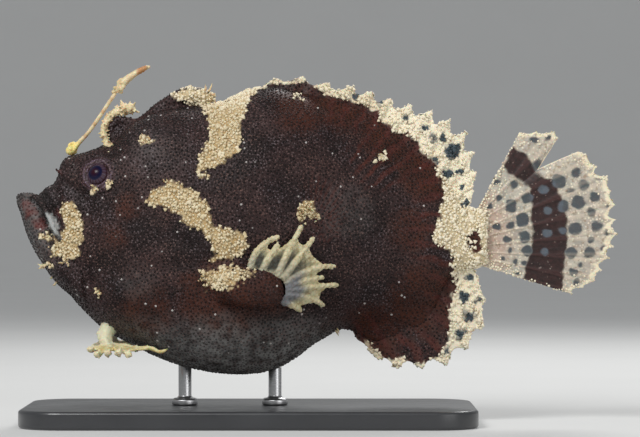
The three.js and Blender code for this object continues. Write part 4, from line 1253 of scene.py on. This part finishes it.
def fan(rays, dip, wave, pleat, per_ray=14, rows=60, ridge=0.3, web=0.22, split=0, tear=UNTORN, teeth=0):
    """A fan of rays: a root curve and a tip curve are joined by straight rays, the margin dips between
    tips and is notched to teeth, and the slab is thickest along each ray and thin at the margin."""
    table = np.asarray(rays, float)
    last = len(table) - 1
    u = np.linspace(0, last, last * per_ray + 1)[:, None]
    v = np.linspace(0, 1, rows + 1)[None, :]
    off = np.abs(u - np.round(u))
    deep = dice().uniform(0.5, 1.4, 2 * last + 1)[np.floor(2 * u).astype(int)]
    reach = 1 - dip * np.sin(np.pi * off) ** NOTCH_POWER
    reach = reach - teeth * deep * np.abs(np.sin(2 * np.pi * u)) ** TOOTH_POWER
    reach = reach - split * np.clip(1 - off / FORK_HALF, 0, 1)
    reach = reach - tear[2] * np.clip(1 - np.abs(u - tear[0]) / tear[1], 0, 1)
    root, tip = path(table[:, :2])(u[:, 0] / last), path(table[:, 2:])(u[:, 0] / last)
    share = (v * reach)[..., None]
    flat = root[:, None] * (1 - share) + tip[:, None] * share
    y = pleat * np.sin(2 * np.pi * u) * v + wave(u, v)
    middle = np.stack([flat[..., 0], y, flat[..., 1]], axis=-1)
    spread = split * FORK_SPREAD * step_up(v, 0.35, 0.95)
    ray = np.exp(-(((off - spread) / RAY_HALF) ** 2))
    knots = 1 + KNOT_DEPTH * np.sin(v * KNOT_RATE)
    half = web * (1 - WEB_THINS * v) + ridge * (1 - RAY_THINS * v) * ray * knots
    half = half * np.sqrt(np.clip((1.0001 - v) / MARGIN_WIDTH, MARGIN_THIN, 1))
    out = unit(np.cross(np.gradient(middle, axis=0), np.gradient(middle, axis=1))) * half[..., None]
    fields = {"ray": np.tile(ray.ravel(), 2), "along": np.tile((v + 0 * u).ravel(), 2)}
    return closed_slab(middle + out, middle - out), fields


def soft_fin(name, rays, dip, wave, material):
    """A dorsal or anal fin, marked as the skin is."""
    (points, faces), fields = fan(rays, dip, wave, 0.12)
    made = facing_out(piece(name + "_web", points, faces, material, "fins", name))
    marks, _ = markings(points, np.tile([0.0, 1.0, 0.0], (len(points), 1)))
    store(made, ray=fields["ray"], **marks)
    return made


TAIL_BAR = [
    (503, 168), (512, 146), (528, 156), (541, 176), (556, 182), (562, 200), (567, 222), (567, 244),
    (564, 262),
    (561, 292), (550, 300), (522, 286), (524, 270), (531, 252), (533, 232), (531, 210), (531, 190),
    (520, 180),
]
TAIL_SPOTS = [
    (499, 198, 4), (497, 183, 3), (490, 205, 3), (511, 206, 6), (514, 185, 5), (497, 227, 4), (510, 225, 4),
    (522, 220, 7), (507, 239, 3.5), (525, 237, 6), (510, 251, 2.5), (527, 251, 5), (503, 259, 2.5),
    (515, 262, 3.5), (524, 264, 3), (518, 273, 2), (527, 198, 6), (538, 165, 5), (543, 189, 5),
    (548, 211, 4),
    (547, 233, 4), (545, 252, 3.5), (563, 231, 4), (559, 181, 7), (576, 173, 5), (584, 185, 5),
    (570, 190, 3),
    (563, 206, 6), (578, 202, 7), (594, 197, 5), (591, 212, 4), (575, 229, 6.5), (596, 226, 6),
    (590, 240, 4),
    (589, 252, 6), (571, 253, 6), (604, 250, 4), (580, 264, 3), (573, 272, 3.5), (576, 282, 4),
    (608, 205, 3),
    (598, 178, 3), (535, 140, 4), (548, 136, 3), (606, 232, 3),
]


def make_tail(material):
    """The tail fin, torn between its second and third rays."""
    (points, faces), fields = fan(
        TAIL_RAYS, 0.035, lambda u, v: 1.2 * v * v * np.sin(u * 0.7 + 0.6), 0.1,
        per_ray=24, rows=96, ridge=0.22, web=0.2, split=0.025, tear=TAIL_TEAR, teeth=0.05,
    )
    made = facing_out(piece("fin_tail_dressed", points, faces, material, "fins", "fin_tail"))
    wavy = points + 0.25 * np.stack([ripple(points, 2.2, k) for k in (21, 22, 23)], axis=1)
    bar = step_up(polygon_depth(wavy, TAIL_BAR), -0.2, 0.25)
    spot = step_up(disc_depth(wavy, TAIL_SPOTS), -0.15, 0.15)
    edge = step_up(fields["along"] + 0.02 * ripple(points, 1.2, 24), 0.945, 0.975) * (1 - bar)
    root = 1 - step_up(fields["along"], 0.12, 0.34)
    store(made, ray=fields["ray"], bar=bar, spot=spot, cream=edge, root=root)
    return made


def trim_tail(tail, material):
    """Small cream beads along the tail's rim and its upper and lower edges."""
    rays = np.asarray(TAIL_RAYS)
    drawn_in = rays[:, 2:] * (1 - RIM_DRAWN_IN) + rays[:, :2] * RIM_DRAWN_IN
    rim = np.concatenate([rays[:1, :2], path(drawn_in)(np.linspace(0, 1, 60)), rays[-1:, :2]])
    places, out = scatter(tail, FRINGE["pitch"], 81)
    rng = dice(82)
    in_bar = polygon_depth(places, TAIL_BAR) > -0.3
    band = rng.normal(*BEAD_BAND, len(places)) * np.where(in_bar, BEADS_IN_BAR, 1)
    near = distance_to_line(places, rim) < band
    near |= places[:, 0] < rng.normal(*BEADS_BEFORE, len(places))
    for name, side in SIDES.items():
        mine = near & (out[:, 1] * side >= 0)
        bud_coat("fringe_tail_" + name, places[mine], out[mine], FRINGE, "fins", material, 83 + side)


def on_hand(side, u, v):
    """A place on the hand: u counts the fingers and v runs from the wrist to the tips, on the parabola
    through each finger's three places, laid along the flank and lifted off it."""
    table = np.asarray(FINGERS, float)
    share = np.asarray(u, float) / (len(table) - 1)
    root, knuckle, tip = (path(table[:, k:k + 2])(share) for k in (0, 2, 4))
    t = np.asarray(v, float)[..., None]
    flat = root * (1 - t) * (1 - 2 * t) + knuckle * 4 * t * (1 - t) + tip * t * (2 * t - 1)
    lift = HAND_LIFT[0] + (HAND_LIFT[1] - HAND_LIFT[0]) * t[..., 0]
    y = side * (flank(flat[..., 0], flat[..., 1]) + lift)
    return np.stack([flat[..., 0], y, flat[..., 1]], axis=-1)


def make_hand(side, name, material):
    """The pectoral fan: nine knobbly fingers in a web, melted together and bent round the flank."""
    last = len(FINGERS) - 1
    shapes = []
    for k in range(last + 1):
        bones = on_hand(side, np.full(6, float(k)), np.linspace(0, 1, 6))
        shapes.append(tube(bones, FINGER_RADII, 40, 12))
        shapes += beads(bones, FINGER_RADII, 16, 0.8, (0.14, 0.24), 41 + k)
    u = np.linspace(0, last, last * 10 + 1)[:, None]
    v = np.linspace(0, 1, 31)[None, :]
    reach = HAND_WEB[0] - HAND_WEB[1] * np.sin(np.pi * np.abs(u - np.round(u)))
    web = on_hand(side, u + 0 * v, v * reach)
    shapes.append(closed_slab(web + [0, WEB_HALF, 0], web - [0, WEB_HALF, 0]))
    made = melt("hand_" + name, shapes, "hand", material, "fins", "fin_pectoral_" + name)
    rows = roughen(made, 0.12, 0.8)
    grid_u, grid_v = np.meshgrid(np.linspace(0, last, 120), np.linspace(0, 1, 60), indexing="ij")
    tree = search_tree(on_hand(side, grid_u, grid_v).reshape(-1, 3))
    found = np.array([tree.find(row)[1] for row in rows])
    column, along = grid_u.ravel()[found], grid_v.ravel()[found]
    lines = [on_hand(side, np.full(9, float(k)), np.linspace(0, 1, 9)) for k in range(last + 1)]
    away = np.min([distance_to_line(rows, bones[:, ::2]) for bones in lines], axis=0)
    upper = 1 - step_up(column, *LAST_UPPER)
    streak = step_up(away, 0.5, 0.85) * step_up(along, 0.08, 0.2) * (1 - step_up(along, 0.4, 0.72))
    inner = (1 - step_up(along, 0.22, 0.5)) * (0.9 - 0.55 * upper)
    store(made, ray=1 - step_up(away, 0.4, 0.8), inner=inner, streak=streak * (0.35 + 0.6 * upper))


# The pelvic limb on the right side, in millimetres; the left one is its mirror
HIP = (-26.6, 4.2, 21)
FOOT = (-28, 7, 15.9)
TOES = [
    (-31.2, 8.8, 15.1), (-29.7, 11.8, 14.2), (-27.5, 13.5, 14.5), (-25.3, 14.1, 14.8), (-23.5, 13.4, 14.4),
    (-15.9, 10.2, 14.9),
]
TOE_RADIUS = [0.85, 0.5, 0.46, 0.36]
SHIN_RADIUS = [2.1, 1.6, 1.1]
TOE_KNOB = (0.74, 0.74, 0.66)
TOE_WEB_HALF = 0.22
TOE_WAVE = (0.42, 17, 2.6)  # the long toe's: height, rate and start in radians
GREY_ABOVE = (15.2, 16.6)
KNOB_REACH = (0.7, 1.3)


def make_foot(side, name, material):
    """A pelvic limb: a warty stalk, five webbed toes with frilled knobs and one long wavy toe behind,
    melted together. The last toe rises and falls by a sine of the share of its length."""
    hip, heel, toes = (np.asarray(places) * [1, side, 1] for places in (HIP, FOOT, TOES))
    shin = hip + (heel - hip) * 0.55 + [-1.0, 0, 0]
    shapes = [tube([hip, shin, heel], SHIN_RADIUS, 30, 20)]
    shapes += beads([hip, shin, heel], SHIN_RADIUS, 46, 0.9, (0.35, 0.7), 48)
    share = np.linspace(0, 1, 8)
    radii = blend(TOE_RADIUS, share)
    for k, toe in enumerate(toes):
        points = heel + (toe - heel) * share[:, None]
        if k == len(toes) - 1:
            tall, rate, start = TOE_WAVE
            points[:, 2] += tall * np.sin(share * rate + start) * share
            shapes += thorns(points, radii, 7, 0.8, 0.2, 50)
        else:
            shapes.append(egg(toe, TOE_KNOB, 12))
            shapes += beads([heel + (toe - heel) * 0.6, toe], [0.6, 0.8], 12, 0.9, (0.22, 0.4), 47 + k)
            shapes += thorns([toe - [0.2, 0, 0], toe + [0.2, 0, 0]], [0.6, 0.6], 9, 0.55, 0.2, 60 + k)
        shapes.append(tube(points, radii, 30, 12, UP))
    turn = path(toes)(np.linspace(0, 1, 40))
    share = np.linspace(0.05, 0.7, 20)[None, :, None]
    web = heel * (1 - share) + turn[:, None] * share
    shapes.append(closed_slab(web + [0, 0, TOE_WEB_HALF], web - [0, 0, TOE_WEB_HALF]))
    made = melt("foot_" + name, shapes, "foot", material, "fins", "fin_pelvic_" + name)
    rows = roughen(made, 0.06, 1.4)
    tip = np.min(np.linalg.norm(rows[:, None] - toes[None, :-1], axis=2), axis=1)
    store(made, tuft=step_up(rows[:, 2], *GREY_ABOVE), knob=1 - step_up(tip, *KNOB_REACH))


# Spines of the first dorsal fin
ROD = [[-35.4, 54.2], [-34.6, 55.6], [-32.4, 58], [-30.4, 60.8], [-28.4, 63.8], [-26.9, 66]]
ROD_RADIUS = [0.7, 0.5, 0.4, 0.4, 0.38, 0.38]
KNOB = (-35.8, 0, 54.5)
LURE = [[-26.9, 66], [-25.4, 68], [-23.4, 69.6], [-21.4, 70.8], [-19.9, 71.3]]
LURE_RADIUS = [0.5, 0.8, 0.66, 0.5, 0.3]
ROD_FOOT = (-35.4, 54.6)  # the rod's yellow and its bands are measured from here
BAND_RATE = 2.1
ORANGE_X = -21.6
SECOND_SPINE = [
    [-27.5, 54.5], [-28.6, 56.2], [-29.2, 58.4], [-28.4, 60.7], [-26.6, 62.2], [-24.7, 63], [-23.3, 62.6],
]
SECOND_RADIUS = [0.8, 0.5, 0.46, 0.5, 0.62, 0.75, 0.5]
SECOND_LEAN = [2.4, 1.6, 0.8, 0.2, 0, 0, 0]  # how far it leans to the left
# Knobs along it: share of its length, and radius
SECOND_KNOBS = [
    (0.02, 1.0), (0.14, 0.8), (0.26, 0.74), (0.39, 0.8), (0.52, 0.92), (0.65, 0.88), (0.79, 1.05),
    (0.92, 1.12),
]


def around(points, radii, count, low, high, seed):
    """Random places along a path: the middle, the way out of it, the path's radius and a number from low
    to high for each."""
    rng = dice(seed)
    share = rng.uniform(0.08, 0.98, count)
    out = unit(rng.normal(size=(count, 3)))
    return zip(path(points)(share), out, blend(radii, share), rng.uniform(low, high, count))


def beads(points, radii, count, spread, sizes, seed):
    """Small eggs set round a path at random, sunk by half: the warts of a lure or spine."""
    return [egg(c + o * r * spread, [s] * 3, 7) for c, o, r, s in around(points, radii, count, *sizes, seed)]


def thorns(points, radii, count, length, thick, seed):
    """Short tapering points that stand out from a path at random."""
    shapes = []
    for middle, out, radius, size in around(points, radii, count, 0.5, 1.3, seed):
        reach = radius + length * size
        places = [middle, middle + out * reach * 0.6, middle + out * reach]
        shapes.append(tube(places, [thick, thick, thick * 0.5], 8, 6))
    return shapes


def make_rod(material):
    """The fishing rod: a thin tapering stalk from a swollen yellow foot, faintly banded."""
    shapes = [tube(flat_path(ROD), ROD_RADIUS, 70, 14), egg(KNOB, (1.08, 1.08, 1.0), 18)]
    shapes += beads([KNOB, (-35.4, 0, 55.2)], [1.0, 1.0], 34, 0.95, (0.22, 0.4), 31)
    shapes += beads(flat_path(ROD), ROD_RADIUS, 34, 0.8, (0.12, 0.22), 32)
    made = melt("rod", shapes, "rod", material, "lure", "illicium")
    rows = vertices(made)
    length = np.hypot(rows[:, 0] - ROD_FOOT[0], rows[:, 2] - ROD_FOOT[1])
    band = step_up(np.sin(length * BAND_RATE), 0.55, 0.9) * 0.4 * step_up(length, 2, 3)
    store(made, band=band, yellow=1 - step_up(length, 1.4, 2.6))


def make_lure(material):
    """The lure: a warty knot that runs out into a worm-like tip with an orange patch."""
    shapes = [tube(flat_path(LURE), LURE_RADIUS, 50, 14)]
    shapes += beads(flat_path(LURE[:2]), [0.75, 0.9], 18, 1.0, (0.3, 0.55), 33)
    shapes += beads(flat_path(LURE[1:]), [0.75, 0.4], 12, 0.85, (0.2, 0.32), 34)
    shapes += thorns(flat_path(LURE[:3]), LURE_RADIUS[:3], 22, 0.4, 0.16, 37)
    made = melt("lure", shapes, "lure", material, "lure", "esca")
    patch = 1 - step_up(np.abs(vertices(made)[:, 0] - ORANGE_X), 0.6, 1.3)
    store(made, band=patch * 0.85, yellow=0 * patch)


def make_second_spine(material):
    """The second spine: a curved warty finger with a thorny tip, its foot on the left of the crest."""
    spine = flat_path(SECOND_SPINE)
    spine[:, 1] -= SECOND_LEAN
    shapes = [tube(spine, SECOND_RADIUS, 60, 18)]
    shapes += [egg(path(spine)(np.array([share]))[0], [size] * 3, 12) for share, size in SECOND_KNOBS]
    shapes += beads([spine[0], (spine[0] + spine[1]) / 2], [1.0, 0.8], 26, 0.9, (0.24, 0.42), 39)
    shapes += beads(spine, SECOND_RADIUS, 90, 0.9, (0.24, 0.46), 35)
    shapes += thorns(spine, SECOND_RADIUS, 120, 0.8, 0.2, 36)
    shapes += thorns(spine[-3:], SECOND_RADIUS[-3:], 34, 1.1, 0.26, 38)
    made = melt("second_spine", shapes, "spine", material, "lure", "dorsal_spine_2")
    rows = vertices(made)
    store(made, band=0.2 * step_up(ripple(rows, 1.6, 36), 0.2, 0.8), yellow=0 * rows[:, 0])


# Eyes
EYE_RINGS, EYE_SIDES, EYE_POLE = 60, 72, 0.01
EYE_DRAWN_IN = 0.995
PUPIL_BULGE = (0.05, 0.45)  # height as a share of the radius, and half width in radians
SPOKES_COARSE, SPOKES_FINE = 17, 41


def make_eye(side, name, material):
    """A wet ball whose rings and spokes are measured from the axis that points out of the flank."""
    shape = ball(EYE_RINGS, EYE_SIDES, EYE_POLE)
    polar = np.linspace(EYE_POLE, np.pi - EYE_POLE, EYE_RINGS)[:, None]
    turn = circle(EYE_SIDES)[None, :]
    height, width = PUPIL_BULGE
    bulge = 1 + height * np.exp(-((polar / width) ** 2))
    size = EYE_RADIUS * EYE_DRAWN_IN * bulge[..., None]
    rings = on_flank(*EYE, side, -EYE_SUNK) + shape @ np.array(eye_axes(side)) * size
    made = facing_out(piece("eye_ball_" + name, *closed_rings(rings), material, "eyes", "eye_" + name))
    ring = np.sin(np.minimum(polar, np.pi / 2)) + 0 * turn
    spoke = (np.sin(turn * SPOKES_COARSE) + np.sin(turn * SPOKES_FINE + 1)) / 2 + 0 * polar
    store(made, ring=np.append(ring.ravel(), [0, 1]), spoke=np.append(spoke.ravel(), [0, 0]))


# Stand, in millimetres
BASE_LENGTH, BASE_WIDTH, BASE_THICK, BASE_CORNER, BASE_BEVEL = 90, 46, 3.6, 9, 0.7
ROD_PLACES = {"front": -13, "rear": 5}
STAND_ROD, STAND_COLLAR, COLLAR_TALL, STAND_GAP = 1.3, 2.6, 1.4, 0.03
BASE_STEPS = [4, 12]  # how far the flat faces' inner rings lie from the edge
ROD_SUNK = 0.5
EDGE_BEVEL = 0.08


def rounded_outline(inset, count=24):
    """The base's outline: four quarter circles, drawn in by inset."""
    arcs = []
    for k, corner in enumerate([(1, 1), (-1, 1), (-1, -1), (1, -1)]):
        turn = np.linspace(0, np.pi / 2, count) + k * np.pi / 2
        arc = np.stack([np.cos(turn), np.sin(turn)], axis=1) * (BASE_CORNER - inset)
        arcs.append(arc + np.array(corner) * [BASE_LENGTH / 2 - BASE_CORNER, BASE_WIDTH / 2 - BASE_CORNER])
    return np.concatenate(arcs)


def make_base():
    """A flat rounded plate whose edge is rolled over above and below."""
    turn = np.linspace(0, np.pi / 2, 8)
    low = BASE_BEVEL * (1 - np.cos(turn))
    inset = np.concatenate([BASE_STEPS[::-1], BASE_BEVEL * (1 - np.sin(turn)), low, BASE_STEPS])
    z = np.concatenate([[0, 0], low, BASE_THICK - low[::-1], [BASE_THICK] * 2])
    rings = []
    for step, height in zip(inset, z):
        flat = rounded_outline(min(step, BASE_CORNER - 0.5))
        flat = flat * (1 - max(step - BASE_CORNER + 0.5, 0) / 20)
        rings.append(np.column_stack([flat, np.full(len(flat), height)]))
    facing_out(piece("base_plate", *closed_rings(np.stack(rings)), base_finish(), "stand", "stand_base"))


def make_rod_stand(name, x, material):
    """A steel rod with a small turned collar, as a profile turned about its own axis, up into the belly."""
    foot = BASE_THICK + STAND_GAP
    top = belly_line(np.array(float(x))) + ROD_SUNK
    profile = np.array([
        (0.2, 0), (STAND_COLLAR - 0.25, 0), (STAND_COLLAR, 0.2), (STAND_COLLAR, COLLAR_TALL - 0.35),
        (STAND_COLLAR - 0.4, COLLAR_TALL), (STAND_ROD + 0.3, COLLAR_TALL + 0.05),
        (STAND_ROD, COLLAR_TALL + 0.4), (STAND_ROD, top - foot), (0.2, top - foot),
    ])
    points, faces = closed_rings(turned(profile + [0, foot], 48, x))
    made = piece("rod_" + name, points, faces, material, "stand_rods", "stand_rod_" + name)
    bevel = made.modifiers.new("turned_edges", "BEVEL")
    bevel.width = EDGE_BEVEL * MM
    bevel.segments = 2
    bevel.limit_method = "ANGLE"
    facing_out(made)


# Skin tags: place in the photograph's pixels, how many, how long and how thick in millimetres
SKIN_TAGS = [
    (47, 266, 6, 1.2, 0.30), (58, 282, 3, 0.9, 0.22), (104, 291, 4, 0.9, 0.28),
    (208, 95, 6, 1.3, 0.24), (216, 104, 5, 1.2, 0.24),
    (308, 207, 9, 1.3, 0.26), (302, 212, 5, 1.5, 0.2), (318, 218, 3, 1.8, 0.14), (52, 238, 4, 0.8, 0.25),
    (100, 190, 4, 0.8, 0.26), (114, 184, 4, 0.8, 0.26), (380, 158, 4, 1.0, 0.2), (150, 142, 6, 0.9, 0.2),
    (204, 276, 5, 1.1, 0.2), (172, 184, 3, 0.9, 0.2), (70, 262, 4, 0.9, 0.24), (336, 331, 3, 0.9, 0.22),
]


TAG_SPREAD = 0.45
TAG_BEND = 0.35
TAG_SIZES = (0.6, 1.15)
TAG_ROOT = 0.25


def make_tags(skin, material):
    """Small tapering flaps that stand on the skin in tufts, on both flanks alike."""
    tree = BVHTree.FromPolygons(vertices(skin).tolist(), triangles(skin).tolist())
    rng = dice(90)
    shapes = []
    for *place, count, length, radius in SKIN_TAGS:
        widths = [radius, radius * 0.8, radius * 0.35]
        spots = rng.normal(0, TAG_SPREAD, (count, 2)) + from_photo([place])[0]
        bends = rng.normal(0, TAG_BEND, (count, 3))
        for (x, z), bend, size in zip(spots, bends, rng.uniform(*TAG_SIZES, count)):
            for side in SIDES.values():
                foot, out, _, _ = tree.ray_cast(Vector((x, side * 40, z)), Vector((0, -side, 0)))
                if foot is None:
                    continue
                foot, out = np.array(foot), np.array(out)
                lean = bend * [1, side, 1]
                tip = foot + (out + lean) * length * size
                middle = foot + (out + 0.3 * lean) * length * size * 0.55
                shapes.append(tube([foot - out * TAG_ROOT, middle, tip], widths, 7, 6, (0.3, 0.2, 1)))
    made = piece("skin_tags", *together(shapes), material, "skin")
    rows = vertices(made)
    store(made, band=0.3 * step_up(ripple(rows, 1.5, 91), 0.3, 0.9), yellow=0 * rows[:, 0])


BARE_EYE = 3.1
BARE_MOUTH = 0.9


def bare_places(places):
    """Where the skin has no granules: round the eyes and inside the mouth."""
    bare = distance_to_line(places, from_photo(MOUTH_SLIT)) < BARE_MOUTH
    for side in SIDES.values():
        bare |= np.linalg.norm(places - on_flank(*EYE, side), axis=1) < BARE_EYE
    return bare


def make_all():
    """Every piece, from the skin outwards."""
    set_camera()
    set_light()
    set_stage()
    skin = make_skin()
    granules, soft = granule_finish(), fin_finish()
    dorsal = soft_fin("fin_dorsal", DORSAL_RAYS, 0.16, lambda u, v: 0.5 * v * np.sin(u * 1.3), soft)
    anal = soft_fin("fin_anal", ANAL_RAYS, 0.1, lambda u, v: 0.5 * v * np.sin(u * 1.5 + 1), soft)
    grow_coat(skin, "skin", "skin", granules, 51, bare_places)
    grow_coat(dorsal, "dorsal", "fins", granules, 61)
    grow_coat(anal, "anal", "fins", granules, 71)
    trim_tail(make_tail(tail_finish()), granules)
    hand, foot, lure, eye, steel = hand_finish(), foot_finish(), lure_finish(), eye_finish(), rod_finish()
    for name, side in SIDES.items():
        make_hand(side, name, hand)
        make_foot(side, name, foot)
        make_eye(side, name, eye)
    make_tags(skin, lure)
    make_rod(lure)
    make_lure(lure)
    make_second_spine(lure)
    make_base()
    for name, x in ROD_PLACES.items():
        make_rod_stand(name, x, steel)


make_all()
bpy.context.scene.view_settings.view_transform = "Standard"
